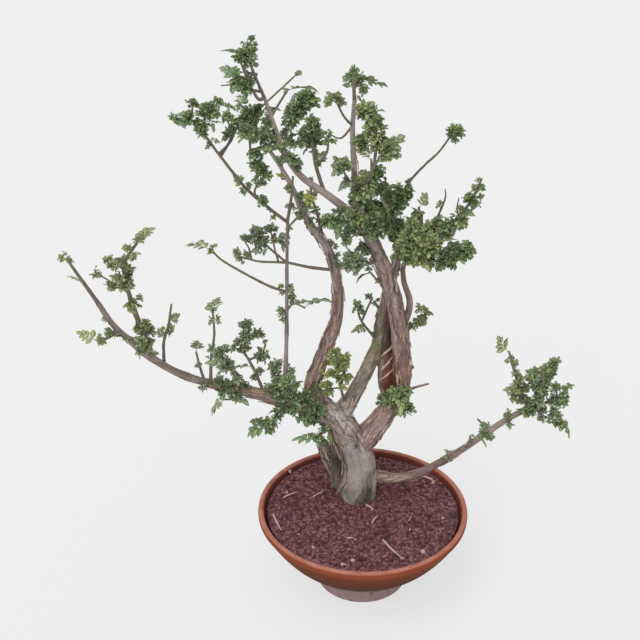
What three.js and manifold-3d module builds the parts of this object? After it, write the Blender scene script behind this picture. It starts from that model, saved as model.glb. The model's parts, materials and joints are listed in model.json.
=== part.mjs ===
// Bursera fagaroides bonsai in a shallow terracotta bowl, at its real size in millimetres.
// +Z is up, X runs to the right of the viewed face and Y runs away from the viewer.
// The origin is the centre of the bowl's foot, on the table.
import * as THREE from "three";
import Module from "manifold-3d";

const wasm = await Module();
wasm.setup();

// Bowl
const RIM_RADIUS = 140;
const POT_HEIGHT = 115;
const LIP_WIDTH = 8;
const LIP_DEPTH = 11;
const WALL = 7;
const FOOT_RADIUS = 62;
const FOOT_HEIGHT = 36;
const FOOT_FLARE = 0.08;
const FOOT_STEP = 2;
const WALL_CURVE = 0.5;
const FLOOR = 12;
const POT_SEGMENTS = 28;
const HOLE_RADIUS = 6;
const HOLE_CIRCLE = 34;
const HOLES = 3;

// Soil and the shards that keep it in
const SOIL_LEVEL = 104;
const SOIL_RELIEF = 1.3;
const SOIL_RINGS = 7;
const CROCK_SIZE = 13;
const CROCK_THICKNESS = 4;

// Clearance between neighbouring pieces
const GAP = 0.3;

// Leaves
const LEAF_LENGTH = 29;
const SIDE_LEAF_LENGTH = 23;
const LEAF_THICKNESS = 0.7;
const RIB_WIDTH = 1.2;
const STALK = 0.2;
const LAST_LEAFLET = 0.66;
const LEAFLET = 0.36;
const LEAF_DROOP = 0.011;
const LEAF_FOLD = 0.22;
const LEAF_ROLL = 0.9;
const LEAF_LIFT = 0.25;
const STEEPEST_LEAF = 0.8;
const BARE_TWIG = 0.42;
const LAST_LEAF = 0.97;
const GOLDEN_ANGLE = Math.PI * (3 - Math.sqrt(5));
const LEAF_TRIES = 9;
const TURN_ON = 0.8;
const BARE_BASE = 0.14;
const LEAF_CLEARANCE = 0.5;
const TWIG_SIDES = 4;

// How far a limb's closed end stands out, as a share of its radius there
const END_BULGE = 0.35;

// The wood of the tree. Each path is a chain of points, and the radii belong to its points or, where
// there are two, run evenly from its root to its end. A branch starts on its parent's centre line,
// "at" so many points along it.
const WOOD = {
  trunk: {
    sides: 12,
    rings: 9,
    radii: [20, 25, 24, 21.5, 20, 20, 15],
    path: [[-5, 44, 62], [-5, 43, 104], [-4, 42, 130], [-5, 40, 160], [-15, 38, 190], [-28, 36, 217],
      [-40, 34, 240]],
  },
  root_right: {
    sides: 6, rings: 4, radii: [6, 6.5, 5, 4],
    path: [[10, 30, 90], [16, 28, 104], [19, 33, 128], [12, 38, 150]],
  },
  root_left: {
    sides: 6, rings: 3, radii: [7, 7, 5],
    path: [[-24, 40, 88], [-27, 42, 104], [-22, 44, 134]],
  },
  old_stub: {
    sides: 7, rings: 4, radii: [10, 9.5, 9, 7.5],
    path: [[-20, 52, 100], [-36, 55, 132], [-48, 58, 158], [-54, 60, 175]],
  },
  bough_left: {
    from: "trunk", at: 5.2, sides: 7, rings: 13,
    radii: [15, 12, 10, 8.2, 6.5, 5.2, 4.6, 4.8, 4, 3.4, 3],
    path: [[-60, 30, 244], [-85, 26, 258], [-125, 18, 275], [-165, 6, 294], [-202, -6, 310],
      [-233, -18, 330], [-263, -32, 360], [-284, -42, 388], [-300, -54, 416], [-312, -66, 450]],
  },
  bough_mid: {
    from: "trunk", at: 5.3, sides: 7, rings: 15,
    radii: [14, 11.5, 9.2, 8, 7.2, 6.8, 5.8, 5, 4.2, 3.4, 2.8, 2.4],
    path: [[-66, 46, 263], [-56, 60, 304], [-40, 72, 345], [-34, 82, 380], [-37, 88, 414], [-48, 92, 450],
      [-66, 94, 477], [-80, 92, 502], [-90, 88, 530], [-105, 86, 560], [-123, 88, 588]],
  },
  bough_back: {
    from: "trunk", at: 5.5, sides: 7, rings: 13,
    radii: [13, 9.6, 8.6, 8, 7.8, 7, 6, 5, 4.4, 3.8, 3],
    path: [[-15, 44, 258], [2, 54, 289], [18, 64, 325], [23, 72, 357], [29, 78, 388], [36, 82, 415],
      [41, 82, 440], [40, 80, 468], [30, 82, 502], [18, 88, 528]],
  },
  leader: {
    from: "trunk", at: 3.7, sides: 8, rings: 19,
    radii: [17, 15, 13, 11.6, 11, 11, 10.6, 9.8, 9, 7.8, 5, 4.3, 3.8, 3.3, 2.8, 2.4, 2.1],
    path: [[12, 44, 205], [31, 50, 230], [47, 50, 256], [50, 46, 293], [47, 40, 336], [40, 32, 382],
      [31, 22, 424], [18, 12, 462], [4, 4, 498], [-20, -2, 533], [-52, -8, 562], [-76, -12, 581],
      [-91, -16, 601], [-101, -20, 625], [-110, -24, 654], [-118, -28, 680]],
  },
  spire: {
    from: "leader", at: 8.9, sides: 6, rings: 6, radii: [6, 4.4, 3.6, 3, 2.6],
    path: [[-14, 8, 549], [-18, 16, 585], [-20, 24, 628], [-18, 30, 660]],
  },
  wand: {
    from: "bough_left", at: 2.5, sides: 5, rings: 6, radii: [4.2, 2.7, 2.5, 2.3, 2.1],
    path: [[-100, 16, 342], [-98, 10, 416], [-97, 4, 470], [-95, -4, 530]],
  },
  right_stem: {
    from: "leader", at: 5.4, sides: 5, rings: 8, radii: [4.8, 4.2, 3.6, 3.2, 3, 2.8, 2.6],
    path: [[56, 44, 394], [48, 54, 422], [48, 58, 444], [61, 54, 458], [80, 46, 472], [95, 38, 491]],
  },
  bough_right: {
    from: "trunk", at: 2.3, sides: 7, rings: 10, radii: [8.5, 7.2, 6.4, 5.6, 4.8, 4.3, 4, 3.7, 3.2],
    path: [[27, 32, 139], [51, 20, 145], [76, 8, 163], [102, -2, 187], [129, -12, 215], [155, -24, 247],
      [180, -36, 277], [203, -48, 299]],
  },
  cut_peg: { from: "leader", at: 4, sides: 6, rings: 2, radii: [3, 2.4], path: [[64, 48, 301]] },
  dry_twig: {
    from: "leader", at: 3.1, sides: 5, rings: 3, radii: [2, 1.5], path: [[66, 42, 273], [84, 34, 284]],
  },
};

// The leafy sprays, each one node: a twig with its forks, and the leaves that grow from them.
// A fork is written as the twig itself is, its "at" counted along the twig.
const SPRAYS = {
  left_tip: {
    from: "bough_left", at: 9.96, radii: [2.8, 1.8], leaves: 3, path: [[-325, -77, 484], [-337, -86, 514]],
  },
  left_rise: {
    from: "bough_left", at: 7.1, radii: [4.2, 1.8], leaves: 7,
    path: [[-270, -40, 404], [-276, -50, 440], [-279, -57, 470], [-278, -62, 498], [-260, -66, 527]],
  },
  left_stub: {
    from: "bough_left", at: 8.7, radii: [3, 1.6], leaves: 1, path: [[-305, -64, 404], [-316, -74, 405]],
  },
  left_twig_low: {
    from: "bough_left", at: 6.5, radii: [2.2, 1.5], leaves: 3,
    path: [[-249, -10, 369], [-244, 2, 386], [-240, 12, 410]],
  },
  left_twig_bare: {
    from: "bough_left", at: 5, radii: [2, 1.5], leaves: 1, path: [[-209, 8, 324], [-214, 18, 340]],
  },
  left_twig_tall: {
    from: "bough_left", at: 4.8, radii: [2.3, 1.5], leaves: 3,
    path: [[-195, 14, 332], [-191, 26, 360], [-192, 34, 388]],
  },
  left_twig_bushy: {
    from: "bough_left", at: 3.1, radii: [2.4, 1.5], leaves: 3,
    path: [[-139, 34, 296], [-150, 46, 313], [-160, 54, 329], [-156, 60, 352]],
    forks: [{ at: 2, radii: [1.8, 1.5], leaves: 1, path: [[-134, 50, 318], [-128, 56, 330]] }],
  },
  left_twig_front: {
    from: "bough_left", at: 3.8, radii: [2.2, 1.5], leaves: 3,
    path: [[-158, -12, 322], [-170, -28, 345], [-176, -40, 368]],
  },
  left_twig_back: {
    from: "bough_left", at: 2.7, radii: [2, 1.5], leaves: 2, path: [[-110, 36, 284], [-115, 48, 304]],
  },
  left_hang: {
    from: "bough_left", at: 2.4, radii: [2, 1.5], leaves: 3, path: [[-113, 6, 254], [-125, -8, 246]],
  },
  left_under: {
    from: "bough_left", at: 4.1, radii: [1.9, 1.5], leaves: 2, path: [[-166, -12, 290], [-178, -22, 294]],
  },
  left_front: {
    from: "bough_left", at: 2, radii: [1.9, 1.5], leaves: 2, path: [[-91, 8, 284], [-96, -6, 308]],
  },
  wand_arm: {
    from: "wand", at: 3.9, radii: [2.2, 1.5], leaves: 2,
    path: [[-116, -12, 545], [-142, -22, 574], [-167, -34, 614], [-182, -42, 640], [-197, -48, 659]],
    forks: [
      { at: 3, radii: [1.7, 1.5], leaves: 3, path: [[-154, -20, 633], [-143, -8, 650], [-124, -2, 656]] },
      { at: 4, radii: [1.7, 1.5], leaves: 1, path: [[-180, -52, 664], [-166, -60, 680]] },
      { at: 1.6, radii: [1.6, 1.5], leaves: 1, path: [[-130, -32, 576], [-120, -40, 594]] },
    ],
  },
  wand_top: {
    from: "wand", at: 3.94, radii: [2, 1.5], leaves: 1, path: [[-90, -10, 560], [-88, -14, 584]],
  },
  wand_spur: {
    from: "wand", at: 1.8, radii: [1.8, 1.5], leaves: 2, path: [[-89, 2, 416], [-76, -6, 414]],
  },
  wand_thin: {
    from: "wand", at: 2.2, radii: [1.8, 1.5], leaves: 1,
    path: [[-120, 0, 441], [-151, -12, 465], [-173, -20, 484], [-185, -26, 501]],
  },
  mid_top: {
    from: "bough_mid", at: 10.94, radii: [2.3, 1.5], leaves: 2, path: [[-140, 92, 616], [-152, 98, 634]],
    forks: [{ at: 0.2, radii: [1.7, 1.5], leaves: 1, path: [[-116, 80, 624], [-95, 70, 662]] }],
  },
  mid_cross: {
    from: "bough_mid", at: 5.2, radii: [2.4, 1.5], leaves: 1,
    path: [[-70, 98, 421], [-101, 106, 424], [-136, 112, 423], [-162, 116, 428]],
    forks: [
      { at: 2, radii: [1.8, 1.5], leaves: 3, path: [[-122, 114, 440], [-138, 120, 454], [-145, 128, 468]] },
    ],
  },
  mid_back: {
    from: "bough_mid", at: 6.3, radii: [2.4, 1.5], leaves: 3,
    path: [[-60, 112, 486], [-68, 126, 508], [-70, 136, 528]],
  },
  mid_side: {
    from: "bough_mid", at: 7.9, radii: [1.8, 1.5], leaves: 1, path: [[-90, 108, 482], [-100, 120, 466]],
  },
  mid_fork: {
    from: "bough_mid", at: 10, radii: [2, 1.5], leaves: 3,
    path: [[-101, 98, 588], [-95, 108, 610], [-82, 114, 632]],
  },
  leader_top: {
    from: "leader", at: 15.94, radii: [2, 1.5], leaves: 2, path: [[-126, -32, 701], [-134, -34, 724]],
    forks: [{ at: 0.3, radii: [1.7, 1.5], leaves: 1, path: [[-136, -40, 692], [-146, -46, 704]] }],
  },
  leader_left: {
    from: "leader", at: 13.2, radii: [1.8, 1.5], leaves: 1, path: [[-116, -32, 637], [-136, -42, 640]],
  },
  leader_front: {
    from: "leader", at: 12.2, radii: [1.8, 1.5], leaves: 2, path: [[-94, -28, 612], [-104, -42, 628]],
  },
  leader_back: {
    from: "leader", at: 11, radii: [2.3, 1.5], leaves: 3,
    path: [[-62, 4, 590], [-66, 10, 614], [-68, 14, 636]],
    forks: [{ at: 1, radii: [1.6, 1.5], leaves: 1, path: [[-50, -8, 610], [-48, -14, 632]] }],
  },
  spire_top: {
    from: "spire", at: 3.94, radii: [2.4, 1.6], leaves: 2, path: [[-20, 34, 690]],
    forks: [{ at: 0.5, radii: [1.6, 1.5], leaves: 1, path: [[-8, 44, 678]] }],
  },
  spire_left: {
    from: "spire", at: 3.1, radii: [1.6, 1.5], leaves: 1, path: [[-30, 14, 645], [-40, 8, 666]],
  },
  spire_right: {
    from: "spire", at: 1, radii: [2.4, 1.5], leaves: 1,
    path: [[-4, 0, 570], [4, -6, 594], [18, -10, 614]],
    forks: [{ at: 2, radii: [1.8, 1.5], leaves: 3, path: [[6, 0, 620], [2, 8, 644], [-9, 14, 654]] }],
  },
  spire_low: {
    from: "spire", at: 1.3, radii: [1.8, 1.5], leaves: 2, path: [[-27, -4, 580], [-32, -14, 594]],
  },
  back_twig: {
    from: "bough_back", at: 3.1, radii: [1.9, 1.5], leaves: 2, path: [[-4, 56, 364], [-10, 46, 388]],
    forks: [{ at: 1, radii: [1.6, 1.5], leaves: 1, path: [[8, 52, 398]] }],
  },
  back_top: {
    from: "bough_back", at: 9.94, radii: [2.6, 1.5], leaves: 2, path: [[8, 96, 548], [6, 102, 566]],
  },
  back_mass: {
    from: "bough_back", at: 8.4, radii: [2.4, 1.5], leaves: 3, path: [[12, 98, 496], [-10, 114, 506]],
  },
  back_long: {
    from: "bough_back", at: 8.9, radii: [2, 1.5], leaves: 2,
    path: [[42, 92, 518], [54, 98, 538], [72, 92, 562], [88, 84, 582], [100, 78, 604]],
  },
  low_spray: {
    from: "bough_back", at: 0.6, radii: [2, 1.5], leaves: 2,
    path: [[-30, 22, 285], [-27, 10, 320], [-38, 2, 345]],
  },
  right_top: {
    from: "right_stem", at: 5.94, radii: [2.5, 1.5], leaves: 3,
    path: [[104, 32, 511], [117, 26, 532], [126, 20, 554], [131, 18, 570]],
  },
  right_arm: {
    from: "right_stem", at: 4.1, radii: [2.2, 1.5], leaves: 3,
    path: [[84, 40, 456], [104, 30, 464], [122, 22, 480]],
  },
  right_back: {
    from: "right_stem", at: 3.4, radii: [2.2, 1.5], leaves: 2,
    path: [[62, 70, 468], [70, 80, 490], [66, 88, 508]],
  },
  right_mid: {
    from: "right_stem", at: 5, radii: [1.8, 1.5], leaves: 2, path: [[80, 58, 484], [88, 66, 504]],
  },
  right_front: {
    from: "leader", at: 6.9, radii: [2.6, 1.5], leaves: 2,
    path: [[36, 2, 474], [46, -14, 502], [48, -24, 528]],
    forks: [{ at: 1, radii: [1.8, 1.5], leaves: 2, path: [[54, -14, 488], [76, -26, 506]] }],
  },
  right_leaf: {
    from: "leader", at: 5.3, radii: [2, 1.5], leaves: 2, path: [[62, 40, 368], [72, 44, 380]],
  },
  right_low: {
    from: "leader", at: 2.9, radii: [2.2, 1.5], leaves: 2, path: [[44, 32, 262], [46, 22, 274]],
  },
  front_left: {
    from: "leader", at: 8.3, radii: [2.4, 1.5], leaves: 3, path: [[-2, -12, 474], [-18, -26, 484]],
  },
  front_high: {
    from: "leader", at: 9.1, radii: [2.2, 1.5], leaves: 3, path: [[-8, -18, 518], [-18, -34, 538]],
  },
  front_low: {
    from: "leader", at: 6.8, radii: [1.8, 1.5], leaves: 1, path: [[12, 4, 446], [2, -6, 462]],
  },
  front_arm: {
    from: "leader", at: 10.3, radii: [2, 1.5], leaves: 2, path: [[-36, -22, 540], [-44, -36, 540]],
  },
  right_end_up: {
    from: "bough_right", at: 7.8, radii: [2.2, 1.5], leaves: 2,
    path: [[186, -40, 325], [176, -32, 352], [172, -28, 366]],
    forks: [{ at: 0.5, radii: [1.7, 1.5], leaves: 1, path: [[176, -56, 322], [172, -64, 334]] }],
  },
  right_end_bare: {
    from: "bough_right", at: 7.94, radii: [2.2, 1.5], leaves: 2,
    path: [[210, -60, 336], [205, -66, 366]],
    forks: [{ at: 0.5, radii: [1.7, 1.5], leaves: 1, path: [[216, -46, 334], [226, -40, 352]] }],
  },
  right_end_out: {
    from: "bough_right", at: 7.6, radii: [2, 1.5], leaves: 2, path: [[222, -52, 310], [244, -58, 320]],
    forks: [{ at: 0.4, radii: [1.7, 1.5], leaves: 1, path: [[214, -60, 294], [236, -66, 290]] }],
  },
  right_bough_front: {
    from: "bough_right", at: 5, radii: [1.8, 1.5], leaves: 1, path: [[132, -26, 232], [132, -32, 246]],
  },
  right_bough_back: {
    from: "bough_right", at: 6, radii: [1.8, 1.5], leaves: 2, path: [[153, -8, 246], [146, 2, 250]],
  },
  collar: {
    from: "trunk", at: 5.1, radii: [2.2, 1.6], leaves: 2, path: [[-56, 12, 222], [-64, 4, 216]],
  },
};

// One finish for each kind of piece
const BARK = new THREE.MeshStandardMaterial({ color: 0x8d7868, roughness: 0.85, metalness: 0 });
const LEAF = new THREE.MeshStandardMaterial({ color: 0x4c6b3c, roughness: 0.6, metalness: 0 });
const TERRACOTTA = new THREE.MeshStandardMaterial({ color: 0xa85a38, roughness: 0.8, metalness: 0 });
const SOIL = new THREE.MeshStandardMaterial({ color: 0x4a2f31, roughness: 0.95, metalness: 0 });

// A repeatable run of numbers from 0 to 1
function drawsFrom(seed) {
  let state = seed;
  return () => {
    state = (state + 0x6d2b79f5) | 0;
    let t = Math.imul(state ^ (state >>> 15), 1 | state);
    t = (t + Math.imul(t ^ (t >>> 7), 61 | t)) ^ t;
    return ((t ^ (t >>> 14)) >>> 0) / 2 ** 32;
  };
}

// A closed solid from vertices and triangles, turned right side out
function solidFrom(vertices, triangles) {
  let volume = 0;
  const corner = (i) => new THREE.Vector3().fromArray(vertices, 3 * i);
  for (let i = 0; i < triangles.length; i += 3) {
    const [a, b, c] = [corner(triangles[i]), corner(triangles[i + 1]), corner(triangles[i + 2])];
    volume += a.dot(b.cross(c));
  }
  const faces = Uint32Array.from(triangles);
  if (volume < 0) for (let i = 0; i < faces.length; i += 3) faces.subarray(i, i + 2).reverse();
  return new wasm.Manifold(
    new wasm.Mesh({ numProp: 3, vertProperties: Float32Array.from(vertices), triVerts: faces }),
  );
}

// A geometry's solid: vertices in the same place become one, and faces with no area are dropped
function solidOf(geometry) {
  const position = geometry.getAttribute("position");
  const index = geometry.index ? [...geometry.index.array] : [...Array(position.count).keys()];
  const places = new Map();
  const vertices = [];
  const renumbered = [];
  for (let i = 0; i < position.count; i++) {
    const point = [position.getX(i), position.getY(i), position.getZ(i)];
    const key = point.map((v) => Math.round(v * 1000)).join();
    if (!places.has(key)) {
      places.set(key, places.size);
      vertices.push(...point);
    }
    renumbered.push(places.get(key));
  }
  const triangles = [];
  for (let i = 0; i < index.length; i += 3) {
    const [a, b, c] = [0, 1, 2].map((k) => renumbered[index[i + k]]);
    if (a !== b && b !== c && c !== a) triangles.push(a, b, c);
  }
  return solidFrom(vertices, triangles);
}

function joined(solids) {
  return solids.reduce((whole, one) => whole.add(one));
}

// The largest separate body of a solid, so that a loose scrap left by a cut is dropped
function largest(solid) {
  return solid.decompose().reduce((best, body) => (body.volume() > best.volume() ? body : best));
}

function meshOf(name, solid, material) {
  const { numProp, vertProperties, triVerts, numVert } = solid.getMesh();
  const positions = new Float32Array(numVert * 3);
  for (let i = 0; i < numVert; i++) {
    positions.set(vertProperties.subarray(i * numProp, i * numProp + 3), i * 3);
  }
  const geometry = new THREE.BufferGeometry()
    .setAttribute("position", new THREE.BufferAttribute(positions, 3))
    .setIndex(new THREE.BufferAttribute(triVerts, 1));
  geometry.computeVertexNormals();
  const mesh = new THREE.Mesh(geometry, material);
  mesh.name = name;
  return mesh;
}

// The centre line of a branch, from its parent's centre line through its own points
function centreLine({ at, path }, parent) {
  const points = path.map((point) => new THREE.Vector3(...point));
  if (parent) points.unshift(parent.getPoint(at / (parent.points.length - 1)));
  return new THREE.CatmullRomCurve3(points, false, "catmullrom", 0.5);
}

function radiusAlong(radii, share) {
  const place = share * (radii.length - 1);
  const first = Math.min(Math.floor(place), radii.length - 2);
  return THREE.MathUtils.lerp(radii[first], radii[first + 1], place - first);
}

// A tapered limb: rings of points carried along the centre line, closed by a low point at each end.
// "grow" makes it thicker and longer all round, for cutting a hole that it clears.
function limb(curve, radii, sides, rings, grow = 0, swell = () => 1) {
  const frames = curve.computeFrenetFrames(rings, false);
  const vertices = [];
  const triangles = [];
  for (let ring = 0; ring <= rings; ring++) {
    const share = ring / rings;
    const centre = curve.getPointAt(share);
    const tangent = frames.tangents[ring];
    if (ring === 0) centre.addScaledVector(tangent, -grow);
    if (ring === rings) centre.addScaledVector(tangent, grow);
    const radius = radiusAlong(radii, curve.getUtoTmapping(share));
    for (let side = 0; side < sides; side++) {
      const angle = (2 * Math.PI * side) / sides;
      const out = frames.normals[ring].clone().multiplyScalar(Math.cos(angle));
      out.addScaledVector(frames.binormals[ring], Math.sin(angle));
      const reach = radius * swell(out, centre) + grow;
      vertices.push(...centre.clone().addScaledVector(out, reach).toArray());
      if (ring === rings) continue;
      const here = ring * sides + side;
      const next = ring * sides + ((side + 1) % sides);
      triangles.push(here, next, here + sides, next, next + sides, here + sides);
    }
  }
  for (const [ring, sign] of [[0, -1], [rings, 1]]) {
    const tip = curve.getPointAt(ring / rings);
    const reach = grow + END_BULGE * radii.at(ring ? -1 : 0);
    vertices.push(...tip.addScaledVector(frames.tangents[ring], sign * reach).toArray());
    const top = vertices.length / 3 - 1;
    for (let side = 0; side < sides; side++) {
      const here = ring * sides + side;
      const next = ring * sides + ((side + 1) % sides);
      triangles.push(...(ring ? [here, next, top] : [next, here, top]));
    }
  }
  return solidFrom(vertices, triangles);
}

// The trunk's muscled section: five low ridges that spread into the roots where it meets the soil
function trunkSwell(out, centre) {
  const angle = Math.atan2(out.y, out.x);
  const above = Math.max(centre.z - SOIL_LEVEL, 0);
  const ridges = Math.cos(5 * angle + 0.02 * centre.z);
  return 1 + 0.05 * ridges + 0.16 * Math.exp(-above / 14) * (0.6 + ridges);
}

const lines = {};
for (const [name, branch] of Object.entries(WOOD)) {
  lines[name] = centreLine(branch, lines[branch.from]);
}

// Branches of the tree joined in one solid, each made thicker all round by "grow"
function wood(names, grow) {
  const limbs = names.map((name) => {
    const { radii, sides, rings } = WOOD[name];
    return limb(lines[name], radii, sides, rings, grow, name === "trunk" ? trunkSwell : undefined);
  });
  return joined(limbs);
}

const tree = wood(Object.keys(WOOD), 0);
const treeRoom = wood(Object.keys(WOOD), GAP);

// The bowl's outer radius at a height: a straight foot under a wall that spreads, then steepens
function potRadius(height) {
  if (height <= FOOT_HEIGHT) return FOOT_RADIUS + FOOT_FLARE * height;
  const share = (height - FOOT_HEIGHT) / (POT_HEIGHT - LIP_DEPTH - FOOT_HEIGHT);
  const spread = RIM_RADIUS - 2 - FOOT_RADIUS - FOOT_STEP;
  return FOOT_RADIUS + FOOT_STEP + spread * Math.min(share, 1) ** WALL_CURVE;
}

// Wall heights where the profile takes a point, closer together where the wall curves most
function wallHeights(from, to, count) {
  return Array.from({ length: count }, (_, i) => from + (to - from) * (i / (count - 1)) ** 1.6);
}

function potProfile() {
  const outer = [[FOOT_RADIUS, 0], [potRadius(FOOT_HEIGHT), FOOT_HEIGHT]];
  const wall = wallHeights(FOOT_HEIGHT + 1.5, POT_HEIGHT - LIP_DEPTH, 5);
  wall.forEach((height) => outer.push([potRadius(height), height]));
  const lip = [
    [RIM_RADIUS - 0.5, POT_HEIGHT - LIP_DEPTH + 2], [RIM_RADIUS, POT_HEIGHT - 4],
    [RIM_RADIUS - LIP_WIDTH * 0.4, POT_HEIGHT], [RIM_RADIUS - LIP_WIDTH + 1, POT_HEIGHT - 1.4],
  ];
  return [[0, 0], ...outer, ...lip, ...innerProfile(0)].map(([x, y]) => new THREE.Vector2(x, y));
}

// The inside of the bowl from its mouth to the middle of its floor, drawn in by a clearance
function innerProfile(clearance) {
  const wall = wallHeights(FOOT_HEIGHT + 5, POT_HEIGHT - LIP_DEPTH, 4).reverse();
  const points = wall.map((height) => [potRadius(height) - WALL - clearance, height]);
  points.push([FOOT_RADIUS - WALL - clearance, FOOT_HEIGHT + 1]);
  points.push([FOOT_RADIUS - WALL - 3 - clearance, FLOOR + clearance], [0, FLOOR + clearance]);
  return points;
}

function placed(geometry, x, y, z, turn = 0) {
  return geometry.rotateZ(turn).translate(x, y, z);
}

function holePlaces() {
  return Array.from({ length: HOLES }, (_, i) => {
    const angle = (2 * Math.PI * i) / HOLES + Math.PI / 2;
    return { x: HOLE_CIRCLE * Math.cos(angle), y: HOLE_CIRCLE * Math.sin(angle), angle };
  });
}

function makePot() {
  const bowl = solidOf(new THREE.LatheGeometry(potProfile(), POT_SEGMENTS).rotateX(Math.PI / 2));
  const holes = holePlaces().map(({ x, y }) => {
    const bore = new THREE.CylinderGeometry(HOLE_RADIUS, HOLE_RADIUS, 3 * FLOOR, 10);
    return solidOf(placed(bore.rotateX(Math.PI / 2), x, y, 0));
  });
  return bowl.subtract(joined(holes));
}

// A broken piece of an old pot: a five-cornered shard laid over a drain hole
function makeCrock({ x, y, angle }, grow = 0) {
  const outline = [0, 1.1, 2.4, 3.6, 5.1].map((turn, i) => {
    const reach = CROCK_SIZE * (i % 2 ? 0.86 : 1) + grow;
    return new THREE.Vector2(reach * Math.cos(turn), reach * Math.sin(turn));
  });
  const settings = { depth: CROCK_THICKNESS + grow, bevelEnabled: false };
  const plate = new THREE.ExtrudeGeometry(new THREE.Shape(outline), settings);
  return solidOf(placed(plate, x, y, FLOOR + GAP, angle));
}

// Low relief of the soil's granules, a sum of waves
function relief(x, y) {
  const fine = Math.sin(1.9 * x + 0.7 * y) + Math.sin(0.8 * x - 2.3 * y + 1);
  return SOIL_RELIEF * 0.5 * fine + 1.5 * Math.sin(0.021 * x + 0.4) * Math.cos(0.026 * y);
}

function makeSoil() {
  const edge = innerProfile(GAP).filter(([, height]) => height < SOIL_LEVEL - 4);
  const edgeRadius = potRadius(SOIL_LEVEL - 3) - WALL - 2.5;
  const last = SOIL_RINGS - 1;
  const top = Array.from({ length: SOIL_RINGS }, (_, i) => [(edgeRadius * i) / last, SOIL_LEVEL]);
  const profile = [...top, ...edge].map(([x, y]) => new THREE.Vector2(x, y));
  const geometry = new THREE.LatheGeometry(profile, POT_SEGMENTS).rotateX(Math.PI / 2);
  const position = geometry.getAttribute("position");
  for (let i = 0; i < position.count; i++) {
    if (position.getZ(i) < SOIL_LEVEL - 0.01) continue;
    position.setZ(i, SOIL_LEVEL + relief(position.getX(i), position.getY(i)));
  }
  const roots = wood(["trunk", "root_right", "root_left", "old_stub"], GAP);
  const crocks = joined(holePlaces().map((place) => makeCrock(place, GAP)));
  return largest(solidOf(geometry).subtract(roots).subtract(crocks));
}

// A leaf cut to its rib: leaflets in pairs and one at the tip, drawn as [along, across]. The first
// points run up one side of the rib and the next up the other side. Each leaflet adds its shoulder
// and its tip.
function leafPattern(pairs, length) {
  const step = (LAST_LEAFLET - STALK) / pairs;
  const stations = [0, STALK, ...Array.from({ length: pairs }, (_, i) => STALK + (i + 1) * step)];
  const points = [1, -1].flatMap((side) => stations.map((u) => [u * length, (side * RIB_WIDTH) / 2]));
  const count = stations.length;
  const faces = [];
  for (let i = 0; i + 1 < count; i++) {
    const other = count + i;
    faces.push([i, other, i + 1], [i + 1, other, other + 1]);
    if (i === 0) continue;
    const reach = (LEAFLET - 0.04 * i) * length;
    const shoulder = (stations[i] + 0.2 * step) * length;
    const tip = (stations[i] + 0.82 * step) * length;
    const first = points.length;
    points.push([shoulder, 0.75 * reach], [tip, reach], [shoulder, -0.75 * reach], [tip, -reach]);
    faces.push([i, i + 1, first], [i + 1, first + 1, first]);
    faces.push([other, first + 2, other + 1], [other + 1, first + 2, first + 3]);
  }
  const last = points.length;
  const middle = (LAST_LEAFLET + 0.55 * (1 - LAST_LEAFLET)) * length;
  points.push([middle, 0.14 * length], [length, 0], [middle, -0.14 * length]);
  faces.push([count - 1, 2 * count - 1, last], [2 * count - 1, last + 2, last], [last + 2, last + 1, last]);
  return { points, faces };
}

// The leaf's blade in the air: it starts at "root", runs along "along" and arches down to its tip,
// folded up a little on both sides of the rib and rolled round it. Both faces are split into
// triangles alike, and every edge that one face uses once is an outer edge, which a wall closes.
function leafSolid({ root, along, length, roll, pairs }, grow = 0) {
  const { points, faces } = leafPattern(pairs, length);
  const across = new THREE.Vector3(0, 0, 1).cross(along).normalize().applyAxisAngle(along, roll);
  const up = along.clone().cross(across).normalize();
  const vertices = [];
  for (const half of [1, -1]) {
    for (const [u, w] of points) {
      const rise = LEAF_FOLD * Math.abs(w) - LEAF_DROOP * u * u + half * (LEAF_THICKNESS / 2 + grow);
      const point = root.clone().addScaledVector(along, u).addScaledVector(across, w);
      vertices.push(...point.addScaledVector(up, rise).toArray());
    }
  }
  const below = points.length;
  const edges = faces.flatMap(([a, b, c]) => [[a, b], [b, c], [c, a]]);
  const used = new Set(edges.map((edge) => edge.join()));
  const triangles = faces.flatMap(([a, b, c]) => [a, b, c, a + below, c + below, b + below]);
  for (const [a, b] of edges) {
    if (used.has([b, a].join())) continue;
    triangles.push(a, a + below, b, b, a + below, b + below);
  }
  return solidFrom(vertices, triangles);
}

// The twigs of one spray: the main one and its forks
function twigsOf(spray) {
  const main = { ...spray, line: centreLine(spray, lines[spray.from]) };
  const forks = (spray.forks ?? []).map((fork) => ({ ...fork, line: centreLine(fork, main.line) }));
  return [main, ...forks];
}

function stemOf(twigs, grow) {
  return joined(
    twigs.map(({ line, radii }) => limb(line, radii, TWIG_SIDES, line.points.length, grow)),
  );
}

// Whether two solids would share any space; far boxes are told apart first
function meets(a, b) {
  const [p, q] = [a.boundingBox(), b.boundingBox()];
  if ([0, 1, 2].some((axis) => p.min[axis] > q.max[axis] || q.min[axis] > p.max[axis])) return false;
  return a.intersect(b).volume() > 0;
}

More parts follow.
